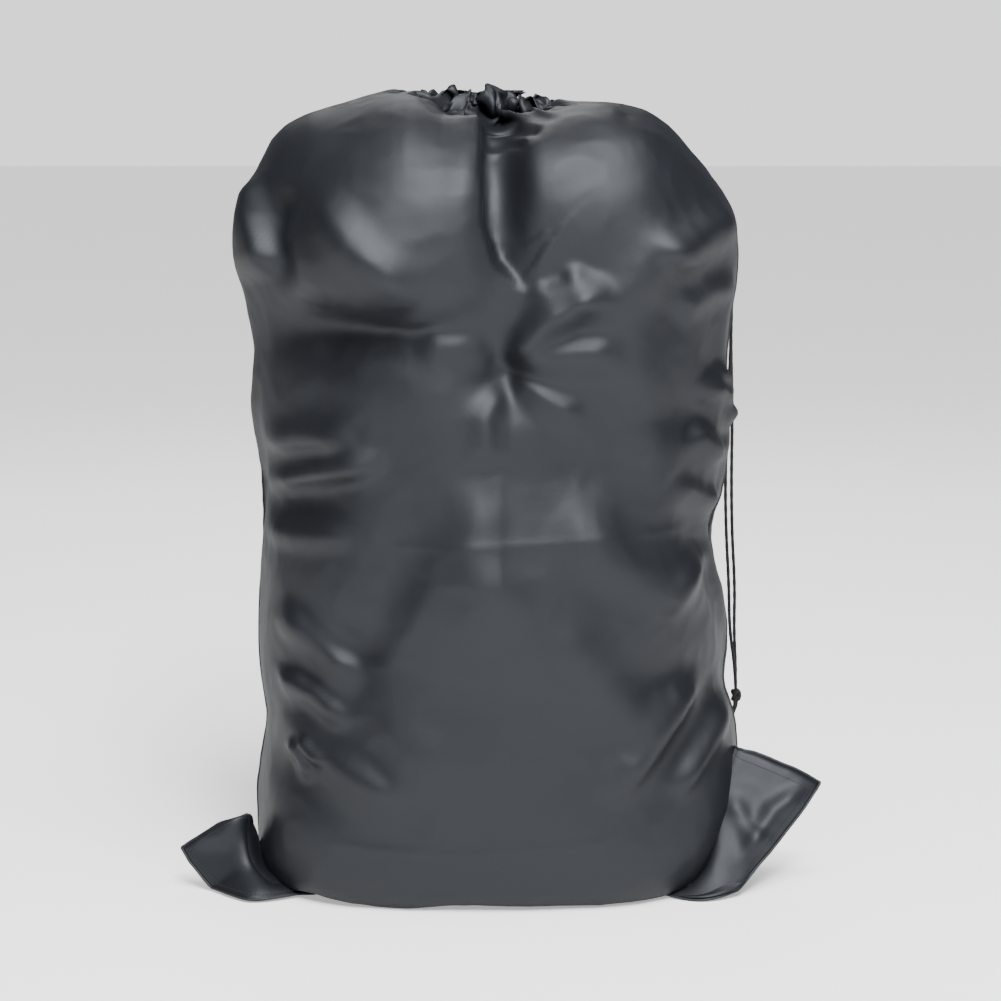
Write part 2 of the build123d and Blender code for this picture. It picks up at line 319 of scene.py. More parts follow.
def floor_material():
    shade = Shader("pale_floor")
    grain = shade.noise(shade.coords("Object"), 3.0)
    colour = shade.blend_colours(grain, (0.90, 0.90, 0.90), (0.93, 0.93, 0.93))
    return shade.finish(Base_Color=colour, Roughness=0.85, Emission_Color=colour, Emission_Strength=0.50)


def weave_height(shade, coords, pitch):
    """Over-and-under plain weave: warp and weft ridges of one pitch."""
    turns = 1.0 / (pitch * 20.0)
    warp = shade.bands(coords, "X", turns * 2 * math.pi)
    weft = shade.bands(coords, "Y", turns * 2 * math.pi)
    return shade.math("MAXIMUM", warp, weft)


def nylon_material(name, low, high, weave_pitch=0.0006):
    """Charcoal coated nylon: fine plain weave, small handling wrinkles, a soft blue-grey sheen."""
    shade = Shader(name)
    flat = shade.coords("UV")
    solid = shade.coords("Object")
    cloudy = shade.noise(solid, 7.0, 4.0, 0.55)
    threads = shade.noise(shade.stretch(flat, (260.0, 2600.0, 1.0)), 1.0, 2.0)
    tone = shade.math("ADD", shade.math("MULTIPLY", cloudy, 0.7), shade.math("MULTIPLY", threads, 0.3))
    colour = shade.blend_colours(tone, low, high)
    weave = weave_height(shade, flat, weave_pitch)
    crinkle = shade.noise(solid, 46.0, 5.0, 0.6, 1.2)
    soft = shade.noise(solid, 16.0, 3.0, 0.5, 0.6)
    normal = shade.bump(soft, 0.16, 0.0030)
    normal = shade.bump(crinkle, 0.22, 0.0008, normal)
    normal = shade.bump(weave, 0.30, 0.00012, normal)
    rough = shade.math("ADD", shade.math("MULTIPLY", cloudy, 0.10), 0.46)
    edge_on = shade.node("ShaderNodeLayerWeight", Blend=0.5).outputs["Facing"]
    gloss = shade.math("SUBTRACT", 0.36, shade.math("MULTIPLY", edge_on, 0.32))
    return shade.finish(
        Base_Color=colour,
        Roughness=rough,
        Specular_IOR_Level=gloss,
        Specular_Tint=(0.89, 0.94, 1.0, 1.0),
        Sheen_Weight=0.02,
        Sheen_Roughness=0.35,
        Sheen_Tint=(0.62, 0.68, 0.80, 1.0),
        Normal=normal,
    )


def thread_material():
    shade = Shader("black_thread")
    twist = shade.bands(shade.coords("UV"), "DIAGONAL", 6.0)
    colour = shade.blend_colours(twist, (0.006, 0.006, 0.007), (0.016, 0.016, 0.019))
    return shade.finish(Base_Color=colour, Roughness=0.6, Normal=shade.bump(twist, 0.5, 0.0002))


def cord_material():
    """Black braided cord; the braid is in the mesh, the fibres are here."""
    shade = Shader("black_braid")
    fibre = shade.noise(shade.stretch(shade.coords("UV"), (40.0, 900.0, 1.0)), 1.0, 3.0)
    colour = shade.blend_colours(fibre, (0.003, 0.003, 0.004), (0.010, 0.010, 0.012))
    normal = shade.bump(fibre, 0.5, 0.0002)
    return shade.finish(
        Base_Color=colour, Roughness=0.70, Specular_IOR_Level=0.20, Sheen_Weight=0.04, Normal=normal,
    )


def metal_material():
    shade = Shader("black_nickel")
    place = shade.coords("Object")
    brushed = shade.noise(shade.stretch(place, (400.0, 400.0, 4000.0)), 1.0, 2.0)
    worn = shade.noise(place, 220.0, 4.0)
    colour = shade.blend_colours(worn, (0.16, 0.16, 0.175), (0.34, 0.34, 0.36))
    rough = shade.math("ADD", shade.math("MULTIPLY", brushed, 0.15), 0.22)
    normal = shade.bump(brushed, 0.1, 0.0001)
    return shade.finish(Base_Color=colour, Metallic=1.0, Roughness=rough, Normal=normal)


def plastic_material(name, low, high, roughness):
    shade = Shader(name)
    place = shade.coords("Object")
    grain = shade.noise(place, 1800.0, 2.0)
    rubbed = shade.noise(place, 120.0, 3.0)
    colour = shade.blend_colours(rubbed, low, high)
    rough = shade.math("ADD", shade.math("MULTIPLY", rubbed, 0.12), roughness)
    normal = shade.bump(grain, 0.25, 0.0001)
    return shade.finish(Base_Color=colour, Roughness=rough, Specular_IOR_Level=0.30, Normal=normal)


def spring_material():
    shade = Shader("spring_wire")
    drawn = shade.noise(shade.coords("Object"), 900.0, 2.0)
    colour = shade.blend_colours(drawn, (0.45, 0.45, 0.47), (0.62, 0.62, 0.64))
    normal = shade.bump(drawn, 0.1, 0.0001)
    return shade.finish(Base_Color=colour, Metallic=1.0, Roughness=0.28, Normal=normal)


def laundry_material():
    """Crumpled cotton clothes of several pale colours."""
    shade = Shader("mixed_laundry")
    place = shade.coords("Object")
    patches = shade.node("ShaderNodeTexVoronoi", Vector=place, Scale=9.0)
    ramp = shade.node("ShaderNodeValToRGB", Fac=patches.outputs["Color"])
    stops = [(0.30, (0.62, 0.62, 0.60)), (0.50, (0.16, 0.24, 0.38)), (0.70, (0.50, 0.44, 0.38))]
    ramp.color_ramp.elements[0].color = (0.70, 0.70, 0.68, 1.0)
    ramp.color_ramp.elements[1].color = (0.34, 0.36, 0.38, 1.0)
    for place_on_ramp, colour in stops:
        ramp.color_ramp.elements.new(place_on_ramp).color = (*colour, 1.0)
    crumple = shade.noise(place, 30.0, 6.0, 0.65, 1.0)
    knit = weave_height(shade, place, 0.0011)
    normal = shade.bump(knit, 0.3, 0.0003, shade.bump(crumple, 0.8, 0.006))
    return shade.finish(Base_Color=ramp.outputs["Color"], Roughness=0.9, Sheen_Weight=0.2, Normal=normal)


# ================= mesh helpers =================

def add_mesh(name, points, faces, material):
    mesh = bpy.data.meshes.new(name)
    mesh.from_pydata([tuple(map(float, p)) for p in points], [], faces)
    mesh.update()
    mesh.polygons.foreach_set("use_smooth", [True] * len(mesh.polygons))
    piece = bpy.data.objects.new(name, mesh)
    bpy.context.scene.collection.objects.link(piece)
    if material is not None:
        mesh.materials.append(material)
    return piece


def set_uv(piece, uv):
    """uv is one (u, v) for each point of the mesh."""
    layer = piece.data.uv_layers.new(name="flat")
    corners = np.empty(len(piece.data.loops), dtype=np.int32)
    piece.data.loops.foreach_get("vertex_index", corners)
    layer.data.foreach_set("uv", np.asarray(uv, dtype=np.float32)[corners].ravel())


def grid_faces(rows, columns, wrap=False):
    faces = []
    for r in range(rows - 1):
        for c in range(columns if wrap else columns - 1):
            this = r * columns + c
            beside = r * columns + (c + 1) % columns
            faces.append((this, beside, beside + columns, this + columns))
    return faces


def along_line(points):
    """Distance along a line of points, from 0."""
    steps = np.linalg.norm(np.diff(np.asarray(points, float), axis=0), axis=1)
    return np.concatenate([[0.0], np.cumsum(steps)])


def even_points(points, spacing):
    """The same line, with points at an even spacing."""
    points = np.asarray(points, float)
    reach = along_line(points)
    places = np.linspace(0.0, reach[-1], max(3, int(round(reach[-1] / spacing)) + 1))
    return np.column_stack([np.interp(places, reach, points[:, k]) for k in range(3)])


def line_frames(path):
    """Two steady cross directions at each point of a path."""
    path = np.asarray(path, float)
    tangents = np.gradient(path, axis=0)
    tangents /= np.linalg.norm(tangents, axis=1)[:, None]
    side = np.cross(tangents[0], (0.3, 0.2, 0.9))
    sides = []
    for tangent in tangents:
        side = side - tangent * np.dot(side, tangent)
        side = side / np.linalg.norm(side)
        sides.append(side)
    sides = np.array(sides)
    return sides, np.cross(tangents, sides)


def tube(name, path, radius_at, material, around=16, closed=False):
    """A tube round a path. radius_at gives the radius from the distance along and the angle round."""
    path = np.asarray(path, float)
    reach = along_line(path)
    sides, ups = line_frames(path)
    angles = np.arange(around) * 2 * math.pi / around
    radii = radius_at(reach[:, None], angles[None, :]) * np.ones((len(path), around))
    ring = sides[:, None, :] * np.cos(angles)[None, :, None] + ups[:, None, :] * np.sin(angles)[None, :, None]
    points = (path[:, None, :] + ring * radii[:, :, None]).reshape(-1, 3)
    faces = grid_faces(len(path), around, wrap=True)
    last = (len(path) - 1) * around
    if closed:
        faces += [(last + a, last + (a + 1) % around, (a + 1) % around, a) for a in range(around)]
    else:
        faces += [tuple(reversed(range(around))), tuple(range(last, last + around))]
    piece = add_mesh(name, points, faces, material)
    u = np.repeat(reach, around)
    v = np.tile(angles / (2 * math.pi) * 0.01, len(path))
    set_uv(piece, np.column_stack([u, v]))
    return piece


# ================= drawcord =================

def read_route(name, points):
    """The smooth line of a route: its points control one NURBS spline, whose points are read back."""
    data = bpy.data.curves.new(name, "CURVE")
    data.dimensions = "3D"
    data.resolution_u = 24
    spline = data.splines.new("NURBS")
    spline.points.add(len(points) - 1)
    for point, place in zip(spline.points, points):
        point.co = (*place, 1.0)
    spline.order_u = 3
    spline.use_endpoint_u = True
    holder = bpy.data.objects.new(name, data)
    bpy.context.scene.collection.objects.link(holder)
    bpy.context.view_layer.update()
    mesh = bpy.data.meshes.new_from_object(holder.evaluated_get(bpy.context.evaluated_depsgraph_get()))
    line = [tuple(v.co) for v in mesh.vertices]
    bpy.data.meshes.remove(mesh)
    bpy.data.objects.remove(holder)
    return line


def braid_radius(reach, angle):
    """Eight strands of braid, four each way, standing in the cord's outline."""
    pitch = 0.011
    turn = reach / pitch * 2 * math.pi
    one_way = np.cos(4 * angle + turn)
    other_way = np.cos(4 * angle - turn)
    return CORD_DIAMETER / 2 * (0.93 + 0.07 * np.maximum(one_way, other_way))


def blunt_end(length):
    """The braid's radius, drawn in at the melted end."""
    def radius(reach, angle):
        left = np.clip((length - reach) / 0.0012, 0.0, 1.0)
        return braid_radius(reach, angle) * np.sqrt(1 - (1 - left) ** 2 * 0.75)
    return radius


def add_strand(name, route, material):
    line = read_route(name, route)
    path = even_points(line, 0.001)
    return tube(name, path, braid_radius, material, around=16), line


def add_tail(name, route, material):
    path = even_points(read_route(name, route), 0.0004)
    return tube(name, path, blunt_end(along_line(path)[-1]), material, around=16)


def add_knot(material):
    """An overhand knot of both strands, pulled tight."""
    turns = np.linspace(0, 2 * math.pi, 161)[:-1]
    reach = 1.9 + np.cos(3 * turns)
    path = np.column_stack([
        KNOT[0] + 0.00125 * reach * np.cos(2 * turns),
        KNOT[1] + 0.00115 * reach * np.sin(2 * turns),
        KNOT[2] + 0.0040 * np.sin(3 * turns),
    ])
    return tube("end_knot_cord", path, braid_radius, material, around=14, closed=True)


def make_drawcord():
    material = cord_material()
    outer, outer_line = add_strand("drawcord_outer", OUTER_ROUTE, material)
    inner, inner_line = add_strand("drawcord_inner", INNER_ROUTE, material)
    knot = add_knot(material)
    long_tail = add_tail("cord_tail_long", LONG_TAIL, material)
    short_tail = add_tail("cord_tail_short", SHORT_TAIL, material)
    ends = {"end_knot": knot, "drawcord_tail_long": long_tail, "drawcord_tail_short": short_tail}
    for node, piece in ends.items():
        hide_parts(node)
        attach(piece, "hanging_cord")
    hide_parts("drawcord_outer_top", "drawcord_outer_hanging")
    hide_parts("drawcord_inner_top", "drawcord_inner_hanging")
    for strand in (outer, inner):
        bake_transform(strand)
    return outer_line, inner_line


def spring_wire_radius(reach, angle):
    return SPRING_WIRE / 2


def make_spring():
    """The lock's coil spring, as tall as the model's spring. It moves with the lock as one piece; the real
    spring shortens as the button goes down, this coil keeps its length.
    """
    low, high = (np.array(corner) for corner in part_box("lock_spring"))
    middle = (low + high) / 2
    turns = np.linspace(0, SPRING_TURNS, 220)
    path = np.column_stack([
        middle[0] + SPRING_RADIUS * np.cos(turns * 2 * math.pi),
        middle[1] + SPRING_RADIUS * np.sin(turns * 2 * math.pi),
        low[2] + SPRING_WIRE / 2 + (high[2] - low[2] - SPRING_WIRE) * turns / SPRING_TURNS,
    ])
    spring = tube("lock_spring_coil", path, spring_wire_radius, spring_material(), around=10)
    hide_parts("lock_spring")
    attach(spring, "cord_lock")
    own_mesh(spring)


# ================= the clothes inside =================

def load_points(around, rows):
    """Points of the load's surface, ring by ring from the base to the top."""
    reach = np.concatenate([[0], np.cumsum(np.hypot(np.diff(LOAD[:, 0]), np.diff(LOAD[:, 1])))])
    places = np.linspace(0, reach[-1], rows)
    heights, widths, depths, centres = (np.interp(places, reach, LOAD[:, k]) for k in range(4))
    points = []
    for z, a, b, cx in zip(heights, widths, depths, centres):
        squareness = 2 / float(np.interp(z, (0.0, 0.12, 0.45, 0.60), (3.2, 2.6, 2.6, 3.0)))
        for i in range(around):
            angle = 2 * math.pi * i / around
            c = math.cos(angle)
            s = math.sin(angle)
            x = cx + a * math.copysign(abs(c) ** squareness, c)
            y = b * math.copysign(abs(s) ** squareness, s)
            lump = 0.010 * noise.noise(Vector((x * 7 + 3.1, y * 7, z * 6 + 1.7)))
            lump += 0.005 * noise.noise(Vector((x * 16 + 9.1, y * 16, z * 14 + 4.7)))
            x += c * lump
            y += s * lump
            if y < 0:
                y += min(1, -y / 0.05) * sum(
                    depth * math.exp(-((x - hx) / rx) ** 2 - ((z - hz) / rz) ** 2)
                    for hx, hz, depth, rx, rz in HOLLOWS
                )
            points.append((x, y, lowered(x, y, z)))
    return points


def lowered(x, y, z):
    """The top dips at the mouth and along the cord's way out, and falls a little to the back."""
    if z < 0.5:
        return z
    to_mouth = math.hypot(x - MOUTH[0], y - MOUTH[1])
    dip = 0.036 * math.exp(-((to_mouth / 0.052) ** 2))
    along = (x - MOUTH[0]) * math.cos(CORD_EXIT) + (y - MOUTH[1]) * math.sin(CORD_EXIT)
    across = -(x - MOUTH[0]) * math.sin(CORD_EXIT) + (y - MOUTH[1]) * math.cos(CORD_EXIT)
    if along > 0:
        dip = max(dip, 0.034 * math.exp(-((across / 0.045) ** 2)))
    back = max(0.0, y) * 0.16
    ramp = min(1.0, (z - 0.5) / 0.12)
    return z - (dip + back) * ramp


def load_faces(around, rows):
    faces = grid_faces(rows, around, wrap=True)
    base = rows * around
    faces += [((i + 1) % around, i, base) for i in range(around)]
    top_row = (rows - 1) * around
    faces += [(top_row + i, top_row + (i + 1) % around, base + 1) for i in range(around)]
    return faces


def load_mesh(name, around, rows, material=None):
    points = load_points(around, rows)
    low_ring = np.array(points[:around]).mean(axis=0)
    top_ring = np.array(points[-around:]).mean(axis=0)
    points += [tuple(low_ring), tuple(top_ring - np.array((0, 0, 0.004)))]
    return add_mesh(name, points, load_faces(around, rows), material)


def add_load_collider():
    """The load as the cloth feels it. It swells to its full size as the clothes are pressed in."""
    load = load_mesh("load_collider", 60, 44)
    load.shape_key_add(name="full")
    slack = load.shape_key_add(name="slack")
    for key, vertex in zip(slack.data, load.data.vertices):
        key.co = (FORM_X + (vertex.co.x - FORM_X) * 0.9, vertex.co.y * 0.9, vertex.co.z * 0.985)
    slack.value = 1
    slack.keyframe_insert("value", frame=1)
    slack.value = 0
    slack.keyframe_insert("value", frame=14)
    load.modifiers.new("collision", "COLLISION")
    load.collision.thickness_outer = 0.003
    load.collision.cloth_friction = 1
    load.collision.use_culling = False
    return load


def make_laundry(grid):
    """The clothes themselves, kept a little inside the cloth, seen only through the mouth."""
    laundry = load_mesh("laundry", 120, 90, laundry_material())
    cloth = grid.reshape(-1, 3).tolist()
    cloth_tree = BVHTree.FromPolygons(cloth, grid_faces(grid.shape[0], grid.shape[1], wrap=True))
    for vertex in laundry.data.vertices:
        place = vertex.co
        gap = 0.010 - 0.003 * noise.noise(place * 22.0) - 0.002 * noise.noise(place * 60.0)
        gap += 0.016 * math.exp(-(((place.x + 0.005) / 0.060) ** 2) - (((place.z - 0.610) / 0.100) ** 2))
        middle = Vector((FORM_X, 0.0, min(max(place.z, 0.10), 0.46)))
        way = (place - middle).normalized()
        hit, _, _, reach = cloth_tree.ray_cast(middle, way)
        if hit is not None and reach - gap < (place - middle).length:
            place = middle + way * (reach - gap)
        vertex.co = (place.x, place.y, max(0.003, place.z))
    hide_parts("laundry_load")
    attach(laundry, "bag")


# ================= the cloth pouch, by simulation =================

# Where the two bottom corners stand, by distance from the tip along the bottom and the side seam.
LEFT_TIP = (-0.2675, -0.070, 0.033)
LEFT_BOTTOM = [
    (0.000, LEFT_TIP),
    (0.015, (-0.260, -0.075, 0.022)),
    (0.045, (-0.241, -0.086, 0.003)),
    (0.085, (-0.2085, -0.122, 0.002)),
    (0.130, (-0.166, -0.128, 0.002)),
    (0.180, (-0.118, -0.126, 0.002)),
]
LEFT_SIDE = [
    (0.000, LEFT_TIP),
    (0.055, (-0.221, -0.075, 0.064)),
    (0.085, (-0.204, -0.065, 0.088)),
    (0.130, (-0.200, -0.045, 0.130)),
]
RIGHT_TIP = (0.269, -0.050, 0.083)
RIGHT_BOTTOM = [
    (0.0000, RIGHT_TIP),
    (0.0150, (0.255, -0.058, 0.066)),
    (0.0550, (0.232, -0.072, 0.040)),
    (0.1120, (0.197, -0.106, 0.006)),
    (0.1500, (0.163, -0.128, 0.002)),
    (0.1900, (0.125, -0.128, 0.002)),
    (0.2300, (0.088, -0.125, 0.002)),
]
RIGHT_SIDE = [
    (0.0000, RIGHT_TIP),
    (0.0265, (0.2455, -0.050, 0.096)),
    (0.0720, (0.2050, -0.045, 0.112)),
    (0.1100, (0.199, -0.030, 0.150)),
]
LEFT_EAR = 0.105             # how far each corner reaches from its tip
RIGHT_EAR = 0.130

# The slack pouch over the load: share of the full outline, height.
START_PROFILE = np.array([
    (1, 0), (1, 0.575), (0.985, 0.61), (0.94, 0.642),
    (0.85, 0.664), (0.66, 0.672), (0.42, 0.662), (0.17, 0.645),
])


def row_length(f, front):
    """Length of the cloth from the bottom seam to the mouth edge at this share of the width."""
    bow = math.sin(math.pi * f)
    return SIDE_LENGTH + (FRONT_EASE if front else BACK_EASE) * bow


def column_place(c, columns):
    """A column's share of the pouch's width and whether it is on the front. Columns run front, then back."""
    front = c <= columns
    return (c if front else 2 * columns - c) / columns, front


def layer_side(j, c, columns):
    """-1 for the front layer, 1 for the back, 0 on the seams that join them."""
    if j == 0 or c in (0, columns):
        return 0.0
    return -1.0 if c < columns else 1.0


def around_angle(f, front):
    return math.pi + math.pi * f if front else math.pi - math.pi * f


class Gathers:
    """The uneven pleats round the mouth."""

    def __init__(self):
        random = np.random.RandomState(4)
        self.depths = random.uniform(0.7, 1.25, PLEATS)
        edges = np.concatenate([[0], np.cumsum(random.uniform(0.75, 1.25, PLEATS))])
        self.edges = edges / edges[-1]

    def at(self, f, front):
        """A wave from -1 to 1 and its strength."""
        place = (0.5 * f if front else 1 - 0.5 * f) % 1.0
        k = min(PLEATS - 1, int(np.searchsorted(self.edges, place, side="right")) - 1)
        share = (place - self.edges[k]) / (self.edges[k + 1] - self.edges[k])
        depth = self.depths[k] * (1 - share) + self.depths[(k + 1) % PLEATS] * share
        return math.cos(2 * math.pi * share), depth


gathers = Gathers()


def ring_point(f, front, up):
    """A point of the drawn mouth: up is 0 at the casing's foot and 1 at its top."""
    angle = around_angle(f, front)
    wave, depth = gathers.at(f, front)
    pleated = 0.0225 + 0.0085 * wave * depth + 0.002 * up**2
    off_exit = abs((angle - CORD_EXIT + math.pi) % (2 * math.pi) - math.pi)
    flat = math.exp(-((off_exit / 0.30) ** 4))
    radius = pleated * (1 - flat) + 0.0290 * flat
    return np.array([
        MOUTH[0] + radius * math.cos(angle), MOUTH[1] + radius * math.sin(angle), MOUTH[2] + CASING * up
    ])


def on_line(table, reach):
    places = [row[0] for row in table]
    points = np.array([row[1] for row in table], float)
    return np.array([np.interp(reach, places, points[:, k]) for k in range(3)])


def ear_point(f, q, spread=1.0):
    """Where a point of a bottom corner stands, and how firmly, or None elsewhere.

    A spread under 1 carries the corner further along the bottom seam.
    """
    across = f * POUCH_WIDTH
    if across * spread + q < LEFT_EAR:
        place = on_line(LEFT_BOTTOM, across) + on_line(LEFT_SIDE, q) - np.array(LEFT_TIP)
        return place, LEFT_EAR - across * spread - q
    across = (1 - f) * POUCH_WIDTH
    if across * spread + q < RIGHT_EAR:
        place = on_line(RIGHT_BOTTOM, across) + on_line(RIGHT_SIDE, q) - np.array(RIGHT_TIP)
        return place, RIGHT_EAR - across * spread - q
    return None


def start_point(f, t, front):
    """The slack pouch before it settles, at a share of its width and of its height."""
    length = row_length(f, front)
    q = t * length
    bow = math.sin(math.pi * f)
    under = 0.17 - 0.055 * bow if front else 0.17 + 0.09 * bow
    angle = around_angle(f, front)
    if q < under:
        u = q / under
        a = 0.300 + (FORM_A - 0.300) * u**1.4
        b = FORM_B * math.sin(u * math.pi / 2)
        x = FORM_X + a * math.cos(angle)
        x = (FORM_X + (f - 0.5) * POUCH_WIDTH) * (1 - u) + x * u
        return np.array([x, b * math.sin(angle) + SEAM_Y * (1 - u), -0.050 * (1 - u) ** 1.1])
    outline = math.hypot(FORM_A * math.cos(angle), FORM_B * math.sin(angle))
    reach = along_line(START_PROFILE * np.array([outline, 1.0]))
    share = (q - under) / (length - CASING - under) * reach[-1]
    rho = np.interp(share, reach, START_PROFILE[:, 0])
    z = np.interp(share, reach, START_PROFILE[:, 1])
    inward = (1 - rho) / (1 - START_PROFILE[-1, 0])
    wave, depth = gathers.at(f, front)
    girth = rho * 2 * POUCH_WIDTH
    fullness = max(1.0, 2 * POUCH_WIDTH / girth)
    height = girth / PLEATS / 4 * math.sqrt(fullness**2 - 1) * depth
    z += height * (1 + wave) * 0.8 * min(1, max(0, inward - 0.30) * 2.0)
    return np.array([
        FORM_X * (1 - inward) + MOUTH[0] * inward + FORM_A * rho * math.cos(angle),
        MOUTH[1] * inward + FORM_B * rho * math.sin(angle),
        z,
    ])


def simulate_pouch(columns, rows, frames):
    """Settles the pouch, front and back, over the load. Returns its points as rows by columns round."""
    round_columns = 2 * columns
    number = {}
    points = []
    flat = []
    goals = []
    grips = []
    for j in range(rows + 1):
        for c in range(round_columns):
            if j == 0 and c > columns:
                continue
            f, front = column_place(c, columns)
            t = j / rows
            length = row_length(f, front)
            layer = layer_side(j, c, columns)
            number[(j, c)] = len(points)
            flat.append(((f - 0.5) * POUCH_WIDTH, 0.0008 * layer, t * length))
            grip = 0.0
            ear = ear_point(f, t * length)
            if j >= rows - CASING_ROWS:
                goal = ring_point(f, front, (j - rows + CASING_ROWS) / CASING_ROWS)
                point = goal
                grip = 1.0
            else:
                point = start_point(f, t, front)
                goal = point
                if ear is not None:
                    goal = ear[0] + np.array([0, 0.0012 * layer, 0])
                    grip = 0.9 * min(1.0, ear[1] / 0.05)
            points.append(point)
            goals.append(goal)
            grips.append(grip)

    def index(j, c):
        c %= round_columns
        return number[(j, round_columns - c if j == 0 and c > columns else c)]

    faces = []
    for j in range(rows):
        for c in range(round_columns):
            corners = [index(j, c), index(j, c + 1), index(j + 1, c + 1), index(j + 1, c)]
            faces.append(tuple(dict.fromkeys(corners)))
    pouch = add_mesh("pouch", points, [f for f in faces if len(f) > 2], None)
    pouch.shape_key_add(name="start")
    cinch = pouch.shape_key_add(name="cinch")
    rest = pouch.shape_key_add(name="flat")
    cinch.data.foreach_set("co", np.array(goals).ravel())
    rest.data.foreach_set("co", np.array(flat).ravel())
    cinch.value = 0
    cinch.keyframe_insert("value", frame=4)
    cinch.value = 1
    cinch.keyframe_insert("value", frame=20)
    group = pouch.vertex_groups.new(name="pin")
    for k, grip in enumerate(grips):
        if grip > 0:
            group.add([k], grip, "REPLACE")
    set_cloth(pouch, rest, frames)
    scene = bpy.context.scene
    scene.frame_start = 1
    scene.frame_end = frames
    for step in range(1, frames + 1):
        scene.frame_set(step)
    settled = pouch.evaluated_get(bpy.context.evaluated_depsgraph_get()).to_mesh()
    result = np.empty(len(settled.vertices) * 3)
    settled.vertices.foreach_get("co", result)
    result = result.reshape(-1, 3)
    bpy.data.objects.remove(pouch)
    return np.array([[result[index(j, c)] for c in range(round_columns)] for j in range(rows + 1)])


def set_cloth(pouch, rest, frames):
    cloth = pouch.modifiers.new("cloth", "CLOTH")
    settings = cloth.settings
    settings.rest_shape_key = rest
    settings.quality = 5
    settings.mass = 0.12
    settings.air_damping = 2
    settings.tension_stiffness = 20
    settings.compression_stiffness = 10
    settings.shear_stiffness = 5
    settings.bending_stiffness = 0.15
    settings.tension_damping = 8
    settings.compression_damping = 8
    settings.shear_damping = 5
    settings.vertex_group_mass = "pin"
    settings.pin_stiffness = 2
    settings.effector_weights.gravity = 0.4
    cloth.collision_settings.distance_min = 0.003
    cloth.collision_settings.collision_quality = 4
    cloth.collision_settings.use_self_collision = False
    cloth.point_cache.frame_start = 1
    cloth.point_cache.frame_end = frames


def add_ground():
    """The floor as the cloth feels it: it comes up under the hanging pouch."""
    ground = add_mesh("ground", [(-1, -1, 0), (1, -1, 0), (1, 1, 0), (-1, 1, 0)], [(0, 1, 2, 3)], None)
    ground.location.z = -0.10
    ground.keyframe_insert("location", frame=2)
    ground.location.z = -0.003
    ground.keyframe_insert("location", frame=20)
    ground.modifiers.new("collision", "COLLISION")
    ground.collision.thickness_outer = 0.002
    ground.collision.cloth_friction = 5
    ground.collision.use_culling = False
    return ground


def between(a, b, c, d):
    """The value halfway from b to c on a smooth curve through all four."""
    return (-a + 9 * b + 9 * c - d) / 16


def refine(grid):
    """Twice the rows and columns: columns go round, rows end at the seam and the mouth."""
    wide = np.empty((grid.shape[0], grid.shape[1] * 2, 3))
    wide[:, 0::2] = grid
    wide[:, 1::2] = between(np.roll(grid, 1, 1), grid, np.roll(grid, -1, 1), np.roll(grid, -2, 1))
    ends = np.vstack([2 * wide[:1] - wide[1:2], wide, 2 * wide[-1:] - wide[-2:-1]])
    tall = np.empty((wide.shape[0] * 2 - 1, wide.shape[1], 3))
    tall[0::2] = wide
    tall[1::2] = between(ends[:-3], ends[1:-2], ends[2:-1], ends[3:])
    return tall


def settle_pouch():
    """The settled pouch, refined twice."""
    load = add_load_collider()
    ground = add_ground()
    settled = simulate_pouch(COARSE_COLUMNS, COARSE_ROWS, COARSE_FRAMES)
    bpy.data.objects.remove(load)
    bpy.data.objects.remove(ground)
    return refine(refine(evened(settled)))


def blurred(grid, times):
    """The grid evened out round and up; its bottom seam and mouth edge keep their height."""
    soft = grid.copy()
    for _ in range(times):
        soft = (np.roll(soft, 1, 1) + 2 * soft + np.roll(soft, -1, 1)) / 4
        soft[1:-1] = (soft[:-2] + 2 * soft[1:-1] + soft[2:]) / 4
    return soft


def evened(grid):
    """Stout coated cloth bends softly: small ripples go, the gathers at the mouth stay."""
    to_mouth = np.hypot(grid[:, :, 0] - MOUTH[0], grid[:, :, 1] - MOUTH[1])
    share = np.where(grid[:, :, 2] > 0.5, smooth_step((to_mouth - 0.045) / 0.060), 1.0)
    return grid + (blurred(grid, 3) - grid) * share[:, :, None]


def set_corners(grid):
    """Draws the two bottom corners out to where they stand."""
    rows, columns, _ = grid.shape
    half = columns // 2
    for j in range(rows // 5):
        for c in range(columns):
            f, front = column_place(c, half)
            ear = ear_point(f, j / (rows - 1) * row_length(f, front), CORNER_SPREAD)
            if ear is not None:
                held = smooth_step(ear[1] / 0.050)
                goal = ear[0] + np.array([0, CORNER_GAP * layer_side(j, c, half), 0])
                grid[j, c] += (goal - grid[j, c]) * held
    bottom = rows // 5
    soft = blurred(grid[:bottom], 14)
    root = np.zeros((bottom, columns))
    for j in range(bottom - 20):
        for c in range(columns):
            f, _ = column_place(c, half)
            q = j / (rows - 1) * SIDE_LENGTH
            for reach, across in ((LEFT_EAR, f * POUCH_WIDTH), (RIGHT_EAR, (1 - f) * POUCH_WIDTH)):
                away = abs(reach - across * CORNER_SPREAD - q - 0.020)
                root[j, c] = max(root[j, c], smooth_step((0.050 - away) / 0.030))
    grid[:bottom] += (soft - grid[:bottom]) * root[:, :, None]


# ================= the outline of this bag =================

# Height, left edge, right edge of the filled bag from the front, as read off the photograph.
SIDE_OUTLINE = np.array([
    (0.095, -0.206, 0.203),
    (0.135, -0.199, 0.201),
    (0.161, -0.204, 0.191),
    (0.188, -0.207, 0.194),
    (0.240, -0.204, 0.190),
    (0.291, -0.203, 0.178),
    (0.343, -0.201, 0.191),
    (0.368, -0.208, 0.195),
    (0.394, -0.211, 0.193),
    (0.445, -0.208, 0.190),
    (0.470, -0.212, 0.193),
    (0.495, -0.216, 0.198),
    (0.520, -0.223, 0.200),
    (0.545, -0.222, 0.198),
    (0.570, -0.216, 0.194),
    (0.595, -0.209, 0.185),
    (0.608, -0.204, 0.178),
])

